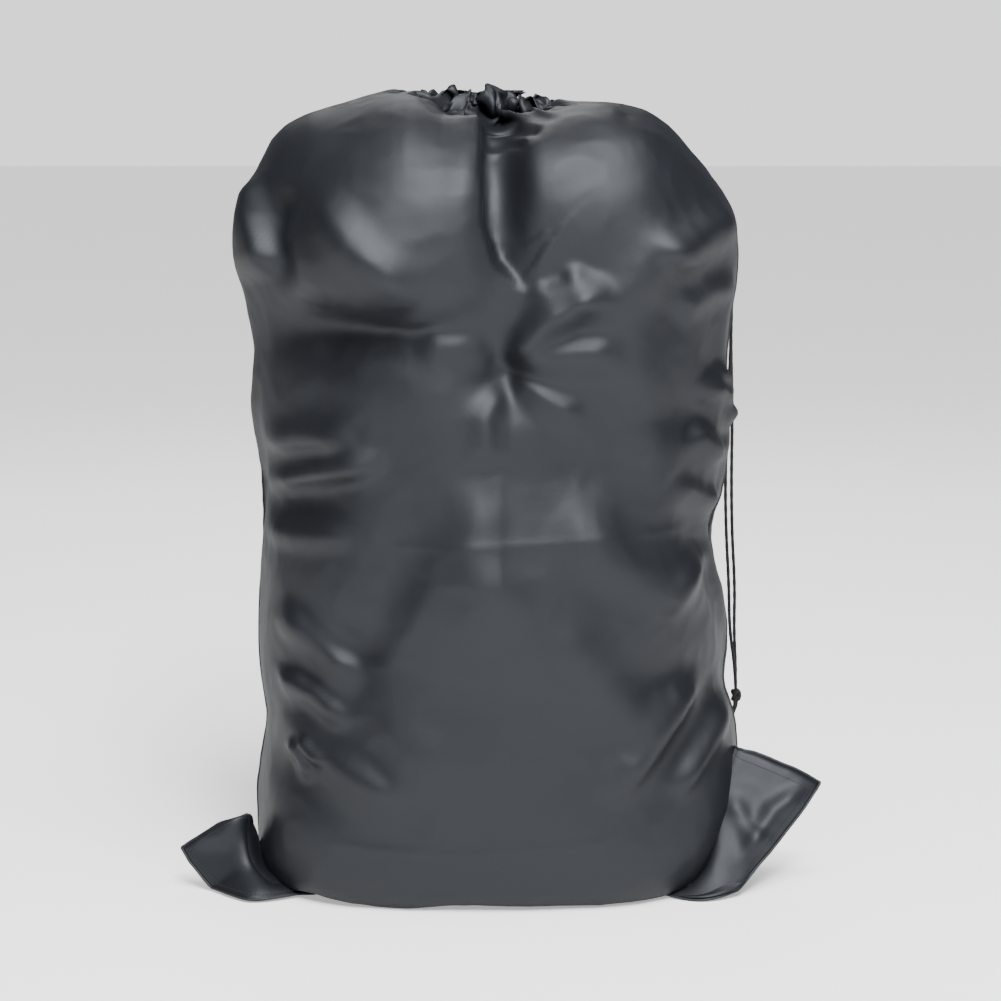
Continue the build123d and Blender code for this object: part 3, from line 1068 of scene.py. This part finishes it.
# Across, height of its top, read off in the same way.
TOP_OUTLINE = np.array([
    (-0.204, 0.606),
    (-0.191, 0.631),
    (-0.164, 0.645),
    (-0.142, 0.649),
    (-0.110, 0.657),
    (-0.085, 0.663),
    (-0.062, 0.663),
    (-0.045, 0.657),
    (-0.015, 0.652),
    (0.048, 0.655),
    (0.090, 0.652),
    (0.124, 0.647),
    (0.145, 0.633),
    (0.163, 0.615),
    (0.180, 0.598),
])
FRONT_DEPTH = 0.160
BACK_DEPTH = 0.166
CORNER_SPREAD = 0.62         # how far the standing corners carry along the bottom seam
CORNER_GAP = 0.0014          # of each layer of a corner from its middle
FOLD_DEPTH = 1.5             # how much stronger the front's folds are than their listed heights
FLOOR_GAP = 0.0009           # of the lowest cloth from the floor


def front_view(grid):
    """Each point's place across and up, as it stands against the plane through the middle of the bag."""
    up = grid[:, :, 2] - EYE_HEIGHT
    depth = EYE_DISTANCE + grid[:, :, 1] * math.cos(EYE_ELEVATION) - up * math.sin(EYE_ELEVATION)
    rise = (grid[:, :, 1] * math.sin(EYE_ELEVATION) + up * math.cos(EYE_ELEVATION)) / depth
    height = EYE_DISTANCE * rise / (math.cos(EYE_ELEVATION) + rise * math.sin(EYE_ELEVATION))
    scale = (EYE_DISTANCE - height * math.sin(EYE_ELEVATION)) / depth
    return grid[:, :, 0] * scale, height + EYE_HEIGHT


def in_ear(rows, columns):
    """True for the points of the two bottom corners and a margin round them."""
    margin = 0.03
    c = np.arange(columns)
    half = columns // 2
    f = np.where(c <= half, c, columns - c) / half
    q = np.arange(rows)[:, None] / (rows - 1) * SIDE_LENGTH
    left = f[None, :] * POUCH_WIDTH + q < LEFT_EAR + margin
    right = (1 - f)[None, :] * POUCH_WIDTH + q < RIGHT_EAR + margin
    return left | right


def smoothed(values):
    padded = np.concatenate([values[:1], values, values[-1:]])
    return (padded[:-2] + 2 * padded[1:-1] + padded[2:]) / 4


def fit_sides(grid):
    """Draws the two sides in or out to the bag's outline."""
    across, up = front_view(grid)
    ears = in_ear(*across.shape)
    heights = np.arange(0.095, 0.611, 0.010)
    for sign, column in ((-1, 1), (1, 2)):
        shifts = []
        for height in heights:
            level = (np.abs(up - height) < 0.008) & ~ears & (across * sign > 0)
            edge = (across[level] * sign).max() * sign
            shifts.append(np.interp(height, SIDE_OUTLINE[:, 0], SIDE_OUTLINE[:, column]) - edge)
        shift = np.interp(up, heights, smoothed(np.array(shifts))) * smooth_step((up - 0.02) / 0.09)
        share = smooth_step((grid[:, :, 0] - FORM_X) * sign / 0.19)
        grid[:, :, 0] += np.where(ears, shift * 0.5, shift) * share


def fit_depth(grid):
    """Draws the front and back in to the filled bag's depth."""
    for sign, depth in ((-1, FRONT_DEPTH), (1, BACK_DEPTH)):
        outward = grid[:, :, 1] * sign
        share = min(1.0, depth / outward.max())
        grid[:, :, 1] *= np.where(outward > 0, share, 1.0)


def fit_top(grid):
    """Lifts or lowers the shoulders and the crest to the bag's outline."""
    across, up = front_view(grid)
    body = np.zeros(across.shape, bool)
    body[:-FINE_CASING_ROWS] = True
    places = np.arange(-0.200, 0.181, 0.010)
    shifts = []
    for place in places:
        column = (np.abs(across - place) < 0.008) & body
        shifts.append(np.interp(place, TOP_OUTLINE[:, 0], TOP_OUTLINE[:, 1]) - up[column].max())
    shift = np.interp(across, places, smoothed(np.array(shifts)))
    to_mouth = np.hypot(grid[:, :, 0] - MOUTH[0], grid[:, :, 1] - MOUTH[1])
    held = smooth_step((grid[:, :, 2] - 0.50) / 0.12) * smooth_step((0.09 - grid[:, :, 1]) / 0.06)
    grid[:, :, 2] += shift * held * smooth_step((to_mouth - 0.030) / 0.030)


# ================= folds and creases worked into the settled cloth =================

def grid_normals(grid):
    """Outward normals of the cloth grid, whose columns run round the bag."""
    across = np.roll(grid, -1, 1) - np.roll(grid, 1, 1)
    up = np.gradient(grid, axis=0)
    normals = np.cross(across, up)
    return normals / np.maximum(np.linalg.norm(normals, axis=2), 1e-9)[:, :, None]


def smooth_step(x):
    x = np.clip(x, 0.0, 1.0)
    return x * x * (3 - 2 * x)


def beside_line(grid, line):
    """Distance in front view from a line of (x, z) points, and the share along it.

    The distance is positive to the left of the line's way.
    """
    x = grid[:, :, 0]
    z = grid[:, :, 2]
    best = np.full(x.shape, 9.0)
    side = np.zeros(x.shape)
    share = np.zeros(x.shape)
    line = np.asarray(line, float)
    reach = along_line(line)
    for k in range(len(line) - 1):
        way = line[k + 1] - line[k]
        length = reach[k + 1] - reach[k]
        t = ((x - line[k, 0]) * way[0] + (z - line[k, 1]) * way[1]) / length**2
        held = np.clip(t, 0, 1)
        away = np.hypot(x - line[k, 0] - held * way[0], z - line[k, 1] - held * way[1])
        turn = way[0] * (z - line[k, 1]) - way[1] * (x - line[k, 0])
        nearer = away < best
        best = np.where(nearer, away, best)
        side = np.where(nearer, np.sign(turn), side)
        share = np.where(nearer, (reach[k] + held * length) / reach[-1], share)
    return best * side, share


def fold(grid, normals, facing, line, height, left, right, taper=0.3):
    """A raised or sunk fold along a line, falling away over left and right on its two sides."""
    away, share = beside_line(grid, line)
    reach = np.where(away > 0, left, right)
    shape = np.exp(-((away / reach) ** 2))
    ends = smooth_step(share / taper) * smooth_step((1 - share) / taper)
    grid += normals * (height * shape * ends * facing)[:, :, None]


def crease(grid, normals, facing, line, height, reach=0.004):
    """A sharp pressed line."""
    away, share = beside_line(grid, line)
    ends = smooth_step(share / 0.12) * smooth_step((1 - share) / 0.12)
    grid += normals * (height * np.exp(-np.abs(away) / reach) * ends * facing)[:, :, None]


def press_hollows(grid):
    """The clothes' bulges and hollows, as they show through the front."""
    normals = grid_normals(grid)
    facing = smooth_step((-normals[:, :, 1] - 0.1) / 0.6)
    for x, z, depth, reach_x, reach_z in HOLLOWS:
        spread = ((grid[:, :, 0] - x) / reach_x) ** 2 + ((grid[:, :, 2] - z) / reach_z) ** 2
        grid[:, :, 1] += (0.8 if depth > 0 else 0.4) * depth * np.exp(-spread) * facing


# Folds of the front: the line, its height, and how far it falls away left and right of its way.
FRONT_FOLDS = [
    # left shoulder
    ([(-0.196, 0.600), (-0.200, 0.560), (-0.184, 0.506)], 0.009, 0.008, 0.024),
    ([(-0.176, 0.590), (-0.180, 0.540), (-0.160, 0.500)], -0.007, 0.016, 0.012),
    # the lobe over the hollow at the left
    ([(-0.190, 0.516), (-0.130, 0.518), (-0.070, 0.500), (-0.018, 0.458)], 0.010, 0.040, 0.030),
    ([(-0.150, 0.590), (-0.118, 0.540), (-0.060, 0.490)], 0.006, 0.016, 0.016),
    # folds that fan out from the middle
    ([(0.000, 0.442), (0.034, 0.478), (0.092, 0.512)], 0.011, 0.012, 0.016),
    ([(0.004, 0.438), (0.048, 0.452), (0.104, 0.458)], 0.006, 0.012, 0.018),
    ([(0.150, 0.560), (0.110, 0.510), (0.060, 0.470)], 0.006, 0.020, 0.020),
    ([(-0.002, 0.450), (-0.030, 0.458), (-0.070, 0.462)], 0.003, 0.014, 0.012),
    ([(0.002, 0.434), (-0.012, 0.400), (-0.010, 0.360)], 0.004, 0.010, 0.014),
    ([(0.002, 0.436), (0.040, 0.415), (0.070, 0.400)], 0.004, 0.008, 0.012),
    # right shoulder and right edge
    ([(0.196, 0.560), (0.160, 0.545), (0.126, 0.520)], 0.008, 0.018, 0.016),
    ([(0.196, 0.505), (0.165, 0.500), (0.135, 0.480)], 0.006, 0.014, 0.014),
    ([(0.160, 0.432), (0.178, 0.412), (0.197, 0.380)], 0.007, 0.007, 0.012),
    ([(0.172, 0.440), (0.188, 0.424), (0.198, 0.405)], 0.005, 0.005, 0.008),
    ([(0.138, 0.350), (0.165, 0.330), (0.190, 0.322)], 0.005, 0.008, 0.012),
    ([(0.150, 0.390), (0.172, 0.372), (0.192, 0.355)], 0.005, 0.008, 0.010),
    # left waist
    ([(-0.202, 0.336), (-0.150, 0.352), (-0.085, 0.372)], 0.008, 0.016, 0.010),
    ([(-0.202, 0.372), (-0.160, 0.384), (-0.110, 0.388)], 0.006, 0.014, 0.010),
    ([(-0.203, 0.300), (-0.160, 0.302), (-0.110, 0.310)], 0.004, 0.012, 0.010),
    # lower left
    ([(-0.186, 0.246), (-0.150, 0.222), (-0.106, 0.184)], 0.008, 0.012, 0.020),
    ([(-0.186, 0.160), (-0.140, 0.126), (-0.060, 0.082)], 0.008, 0.016, 0.022),
    ([(0.020, 0.250), (0.070, 0.200), (0.140, 0.120)], 0.005, 0.024, 0.024),
    ([(0.040, 0.330), (0.090, 0.290), (0.180, 0.240)], 0.005, 0.020, 0.022),
    ([(-0.010, 0.360), (-0.020, 0.300), (0.010, 0.220)], 0.004, 0.022, 0.022),
    ([(-0.190, 0.190), (-0.150, 0.176), (-0.118, 0.150)], 0.006, 0.008, 0.012),
    ([(-0.175, 0.136), (-0.160, 0.118), (-0.150, 0.100)], 0.005, 0.005, 0.007),
    ([(-0.165, 0.140), (-0.152, 0.126), (-0.140, 0.118)], 0.004, 0.004, 0.006),
    # the edge of the big middle lobe
    ([(-0.050, 0.330), (-0.048, 0.270), (-0.084, 0.200), (-0.082, 0.150), (-0.030, 0.060)],
     0.008, 0.080, 0.020),
    # lower right
    ([(0.166, 0.196), (0.125, 0.142), (0.086, 0.086)], 0.009, 0.012, 0.018),
    ([(0.190, 0.160), (0.168, 0.122), (0.140, 0.086)], 0.006, 0.010, 0.012),
    ([(0.130, 0.235), (0.150, 0.262), (0.170, 0.290)], 0.005, 0.012, 0.010),
]

# Folds of the two standing corners.
CORNER_FOLDS = [
    ([(-0.264, 0.036), (-0.232, 0.046), (-0.200, 0.078)], 0.006, 0.010, 0.008),
    ([(0.262, 0.084), (0.228, 0.062), (0.196, 0.020)], 0.008, 0.012, 0.008),
    ([(0.222, 0.034), (0.205, 0.050), (0.190, 0.080)], 0.004, 0.008, 0.008),
]

# Pressed lines from how the new bag was folded flat.
FRONT_CREASES = [
    ([(-0.100, 0.300), (0.040, 0.304), (0.170, 0.310)], 0.0012),
    ([(-0.150, 0.056), (-0.030, 0.050), (0.100, 0.060)], 0.0012),
    ([(0.004, 0.420), (0.000, 0.340), (-0.002, 0.250)], 0.0008),
    ([(0.002, 0.210), (-0.004, 0.120)], 0.0006),
]


def press_front(grid):
    """Works the front's folds and pressed lines into the cloth."""
    normals = grid_normals(blurred(grid, 12))
    facing = smooth_step((-normals[:, :, 1] + 0.05) / 0.5) * smooth_step((0.66 - grid[:, :, 2]) / 0.02)
    for line, height, left, right in FRONT_FOLDS:
        fold(grid, normals, facing, line, height * FOLD_DEPTH, left, right)
    for line, height, left, right in CORNER_FOLDS:
        fold(grid, normals, facing, line, height, left, right)
    for line, height in FRONT_CREASES:
        crease(grid, normals, facing, line, height)
    tuck_centre(grid, normals, facing)


# The deep tuck down the front from the mouth, with the lip that it ends in.
TUCK = [(-0.015, 0.670), (-0.015, 0.590), (-0.013, 0.556), (-0.004, 0.528), (0.014, 0.508), (0.034, 0.500)]
TUCK_LIP = [(0.018, 0.506), (0.036, 0.500), (0.054, 0.508), (0.066, 0.528)]
GATHERS_RIGHT = [
    ([(-0.013, 0.652), (0.020, 0.654), (0.062, 0.650)], 0.0045),
    ([(-0.013, 0.641), (0.018, 0.644), (0.050, 0.641)], 0.0060),
    ([(-0.013, 0.629), (0.012, 0.631), (0.036, 0.630)], 0.0050),
    ([(-0.013, 0.616), (0.006, 0.618), (0.022, 0.618)], 0.0030),
]
SHOULDER_SLIT = [(0.090, 0.650), (0.130, 0.640), (0.160, 0.622), (0.182, 0.600)]


def tuck_centre(grid, normals, facing):
    """The left side laps over the right side along the tuck; gathers run right from its top."""
    away, share = beside_line(grid, TUCK)
    held = smooth_step((1 - share) / 0.30) * facing
    outer = np.exp(-(np.maximum(-away, 0) / 0.042) ** 2)
    inner = np.exp(-(np.maximum(away, 0) / 0.040) ** 2)
    over = smooth_step((away + 0.005) / 0.010)
    lap = (0.008 * outer * (1 - over) - 0.010 * inner * over) * held
    grid += normals * lap[:, :, None]
    fold(grid, normals, facing, TUCK_LIP, 0.008, 0.008, 0.016)
    for line, depth in GATHERS_RIGHT:
        fold(grid, normals, facing, line, -depth, 0.0045, 0.0045, 0.2)
    fold(grid, normals, facing, SHOULDER_SLIT, -0.005, 0.004, 0.010, 0.15)


def crumple(grid):
    """Shallow drag folds and fine handling wrinkles all over."""
    normals = grid_normals(grid)
    rows, columns, _ = grid.shape
    depth = np.empty((rows, columns))
    for j in range(rows):
        for c in range(columns):
            place = Vector(grid[j, c])
            drag = Vector((place.x * 9 + place.z * 5, place.y * 12, place.z * 17 - place.x * 6))
            ridge = 1 - 2 * abs(noise.noise(place * 40.0))
            depth[j, c] = 0.0022 * noise.noise(drag) + 0.0005 * ridge
    grid += normals * depth[:, :, None]


def make_room(grid, cord_lines):
    """Keeps the cloth out of the cord lock, all along its slide, and under the drawcord."""
    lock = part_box("lock_barrel")
    centre = [(low + high) / 2 for low, high in zip(lock[0], lock[1])]
    beyond_x = grid[:, :, 0] - centre[0]
    beyond_y = grid[:, :, 1] - centre[1]
    slid = np.clip(beyond_x * math.cos(CORD_EXIT) + beyond_y * math.sin(CORD_EXIT), 0, LOCK_SLIDE)
    away = np.hypot(beyond_x - slid * math.cos(CORD_EXIT), beyond_y - slid * math.sin(CORD_EXIT))
    ceiling = lock[0][2] - 0.0022 + np.maximum(0, away - 0.0125) * 1.1
    body = slice(0, -FINE_CASING_ROWS)
    above = np.maximum(0, grid[body, :, 2] - ceiling[body])
    grid[body, :, 2] -= above
    line = np.array([point for cord in cord_lines for point in even_points(cord, 0.003)])
    rise = smooth_step((line[:, 2] - 0.50) / 0.12) * math.pi / 2
    flat_way = line[:, :2] - np.array([FORM_X, 0])
    flat_way /= np.linalg.norm(flat_way, axis=1)[:, None]
    out = np.column_stack([flat_way * np.cos(rise)[:, None], np.sin(rise)])
    near = (grid[:, :, 0] > 0.0) & (grid[:, :, 1] > -0.02) & (grid[:, :, 2] > 0.1)
    near_rows, near_columns = np.nonzero(near)
    for j, c in zip(near_rows, near_columns):
        if j >= grid.shape[0] - FINE_CASING_ROWS:
            continue
        gaps = line - grid[j, c]
        k = int(np.argmin((gaps**2).sum(axis=1)))
        offset = -gaps[k]
        height = float(np.dot(offset, out[k]))
        beside = float(np.linalg.norm(offset - height * out[k]))
        limit = -0.0042 + beside * 0.8
        if beside < 0.03 and height > limit:
            grid[j, c] -= (height - limit) * out[k]


def stand_on_floor(grid):
    np.maximum(grid[:, :, 2], FLOOR_GAP, out=grid[:, :, 2])


# ================= the sewn pieces =================

def flat_uv(rows, columns, across, up):
    """Flat-pattern coordinates, in metres, of a block of the grid."""
    v, u = np.meshgrid(np.linspace(*up, rows), np.linspace(*across, columns), indexing="ij")
    return np.column_stack([u.ravel(), v.ravel()])


def add_panel(name, grid, material, node):
    rows, columns, _ = grid.shape
    panel = add_mesh(name, grid.reshape(-1, 3), grid_faces(rows, columns), material)
    set_uv(panel, flat_uv(rows, columns, (0, POUCH_WIDTH), (0, POUCH_HEIGHT)))
    wall = panel.modifiers.new("wall", "SOLIDIFY")
    wall.thickness = CLOTH_THICKNESS
    wall.offset = -1.0
    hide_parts(node)
    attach(panel, "bag")
    return panel


# Along one stitch: share of its length, height off the cloth and thickness, in thread radii.
STITCH_SHAPE = [(0.0, -0.6, 0.3), (0.2, 0.5, 0.9), (0.5, 0.9, 1.0), (0.8, 0.5, 0.9), (1.0, -0.6, 0.3)]


def stitch_points(start, end, out, radius):
    """One stitch: a short thread that dips at both ends."""
    start, end, out = (np.asarray(v, float) for v in (start, end, out))
    way = end - start
    side = np.cross(way, out)
    side /= max(1e-9, np.linalg.norm(side))
    points = []
    for share, lift, girth in STITCH_SHAPE:
        centre = start + way * share + out * radius * lift
        for k in range(6):
            angle = k * math.pi / 3
            points.append(centre + radius * girth * (side * math.cos(angle) + out * math.sin(angle)))
    return points


def stitch_faces(first):
    """Faces of one stitch whose first point has this number."""
    sides = [tuple(first + k for k in face) for face in grid_faces(5, 6, wrap=True)]
    return sides + [tuple(first + k for k in reversed(range(6))), tuple(first + 24 + k for k in range(6))]


def stitch_row(line, outs, pitch=0.0032, share=0.72, radius=0.00032):
    """Points and faces of a row of stitches along a line, lying on the cloth."""
    line = np.asarray(line, float)
    reach = along_line(line)
    points = []
    faces = []
    for start in np.arange(0.0, reach[-1] - pitch, pitch):
        ends = []
        for place in (start, start + pitch * share):
            ends.append(np.array([np.interp(place, reach, line[:, k]) for k in range(3)]))
        out = np.array([np.interp(start, reach, outs[:, k]) for k in range(3)])
        faces += stitch_faces(len(points))
        points += stitch_points(ends[0], ends[1], out, radius)
    return points, faces


def edge_radius(reach, angle):
    """A serged edge: thread wraps lean round it."""
    return 0.00115 + 0.00013 * np.cos(reach / 0.0022 * 2 * math.pi + angle)


def add_seam(name, edge, stitched, outs, materials, node):
    """The sewn edge along one side, with the row of stitches beside it."""
    seam = tube(name, even_points(edge, 0.0008), edge_radius, materials[0], around=10)
    points, faces = stitch_row(stitched, outs)
    stitches = add_mesh(name + "_stitches", points, faces, materials[1])
    set_uv(stitches, np.asarray(points)[:, :2])
    join([seam, stitches])
    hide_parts(node)
    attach(seam, "bag")


def join(pieces):
    """Joins pieces into the first."""
    bpy.ops.object.select_all(action="DESELECT")
    for piece in pieces:
        piece.select_set(True)
    bpy.context.view_layer.objects.active = pieces[0]
    bpy.ops.object.join()


def add_seams(grid, normals):
    binding = nylon_material("seam_nylon", (0.008, 0.0085, 0.010), (0.017, 0.018, 0.022))
    materials = (binding, thread_material())
    last = grid.shape[0] - 1 - FINE_CASING_ROWS
    half = grid.shape[1] // 2
    inset = 2
    tip_rows = slice(0, last + 1)
    add_seam(
        "left_seam", grid[tip_rows, 0], grid[inset:last, inset], normals[inset:last, inset],
        materials, "left_side_seam",
    )
    add_seam(
        "right_seam", grid[tip_rows, half], grid[inset:last, half - inset], normals[inset:last, half - inset],
        materials, "right_side_seam",
    )
    beside = slice(inset, half - inset)
    add_seam(
        "bottom_edge_seam", grid[0, :half + 1], grid[inset, beside], normals[inset, beside],
        materials, "bottom_seam",
    )


# ================= casing, heading and its stitches =================

def band_section(f, front, steps):
    """The casing's section at one place: (radius, height) round a soft tunnel that holds the cord."""
    outer = np.linalg.norm(ring_point(f, front, 0.5)[:2] - MOUTH[:2])
    wave, depth = gathers.at(f, front)
    inner = 0.0170 - 0.0018 * (1 - wave) * depth
    section = []
    for k in range(steps):
        s = 2 * math.pi * k / steps
        c = math.cos(s)
        share = 0.5 + 0.5 * math.copysign(abs(c) ** 0.6, c)
        up = 0.5 + 0.5 * math.sin(s)
        belly = 0.0012 * math.sin(math.pi * up) * (0.4 + 0.6 * c)
        section.append((inner + (outer - inner) * share + belly, MOUTH[2] + CASING * up))
    return section


def heading_section(f, front, steps):
    """The heading's section: a thin frill that stands on the casing, with a rolled hem along its top."""
    wave, depth = gathers.at(f, front)
    angle = around_angle(f, front)
    lean = 0.004 * math.cos(angle - math.radians(250))
    section = []
    foot = MOUTH[2] + CASING - 0.0022
    height = 0.0095 + 0.0012 * math.sin(5 * angle + 0.6)
    for k in range(steps):
        s = 2 * math.pi * k / steps
        up = 0.5 + 0.5 * math.sin(s)
        middle = 0.0205 + (0.0095 + lean) * up**1.5 + 0.0050 * wave * depth * up
        wall = 0.0006 + 0.0006 * smooth_step((up - 0.80) / 0.06)
        side = math.copysign(abs(math.cos(s)) ** 0.4, math.cos(s))
        section.append((middle + wall * side, foot + height * up))
    return section


def add_band(name, section_at, columns, steps, front_only, material, node):
    """A band round the mouth, or its front or back half, from its section at each place."""
    halves = [True, False] if front_only is None else [front_only]
    places = []
    for front in halves:
        for c in range(columns + (front_only is not None)):
            places.append((c / columns if front else 1 - c / columns, front))
    points = []
    uv = []
    for k, (f, front) in enumerate(places):
        angle = around_angle(f, front)
        for step, (radius, z) in enumerate(section_at(f, front, steps)):
            points.append((MOUTH[0] + radius * math.cos(angle), MOUTH[1] + radius * math.sin(angle), z))
            uv.append((k / columns * POUCH_WIDTH, POUCH_HEIGHT + step / steps * 2 * CASING))
    count = len(places)
    whole = front_only is None
    faces = []
    for k in range(count if whole else count - 1):
        after = (k + 1) % count
        for s in range(steps):
            nxt = (s + 1) % steps
            faces.append((k * steps + s, after * steps + s, after * steps + nxt, k * steps + nxt))
    if not whole:
        faces.append(tuple(reversed(range(steps))))
        faces.append(tuple((count - 1) * steps + s for s in range(steps)))
    band = add_mesh(name, points, faces, material)
    set_uv(band, uv)
    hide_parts(node)
    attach(band, "bag")


def add_casing_stitches():
    """Two rows of thread round the casing: at its foot and under its heading."""
    points = []
    faces = []
    columns = 400
    for up in (0.10, 0.90):
        line = []
        outs = []
        for c in range(2 * columns + 1):
            f, front = column_place(c, columns)
            angle = around_angle(f, front)
            out = np.array([math.cos(angle), math.sin(angle), 0.0])
            line.append(ring_point(f, front, up) + out * 0.0006)
            outs.append(out)
        more_points, more_faces = stitch_row(line, np.array(outs), pitch=0.0030)
        faces += [tuple(k + len(points) for k in face) for face in more_faces]
        points += more_points
    stitches = add_mesh("casing_thread", points, faces, thread_material())
    set_uv(stitches, np.asarray(points)[:, :2])
    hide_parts("casing_stitching")
    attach(stitches, "bag")


def make_mouth(material):
    columns = 240
    add_band("front_casing_cloth", band_section, columns, 20, True, material, "front_casing")
    add_band("back_casing_cloth", band_section, columns, 20, False, material, "back_casing")
    add_band("mouth_heading", heading_section, columns, 28, None, material, "mouth_ruffle")
    add_casing_stitches()


def make_pouch(cord_lines):
    """Front and back panels, seams, casing and heading. Returns the cloth's points."""
    grid = settle_pouch()
    fit_depth(grid)
    fit_sides(grid)
    fit_top(grid)
    set_corners(grid)
    press_hollows(grid)
    press_front(grid)
    make_room(grid, cord_lines)
    crumple(grid)
    stand_on_floor(grid)
    normals = grid_normals(grid)
    nylon = nylon_material("charcoal_nylon", (0.0042, 0.0046, 0.0062), (0.0088, 0.0098, 0.0125))
    half = grid.shape[1] // 2
    top = grid.shape[0] - FINE_CASING_ROWS
    front = add_panel("front_panel_cloth", grid[:top, :half + 1], nylon, "front_panel")
    back_grid = np.concatenate([grid[:top, half:], grid[:top, :1]], axis=1)
    back = add_panel("back_panel_cloth", back_grid, nylon, "back_panel")
    add_seams(grid, normals)
    make_mouth(nylon)
    return grid


# ================= finish of the parts that keep their own shape =================

def finish_fittings():
    finishes = {
        "drawcord_loop": cord_material(),
        "cord_eyelet": metal_material(),
        "eyelet_washer": metal_material(),
        "lock_barrel": plastic_material("black_barrel", (0.005, 0.005, 0.006), (0.010, 0.010, 0.011), 0.42),
        "lock_plunger": plastic_material("black_button", (0.006, 0.006, 0.007), (0.012, 0.012, 0.013), 0.36),
    }
    for node, material in finishes.items():
        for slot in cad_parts[node].material_slots:
            slot.material = material


place_camera()
cord_lines = make_drawcord()
set_studio()
make_laundry(make_pouch(cord_lines))
make_spring()
finish_fittings()
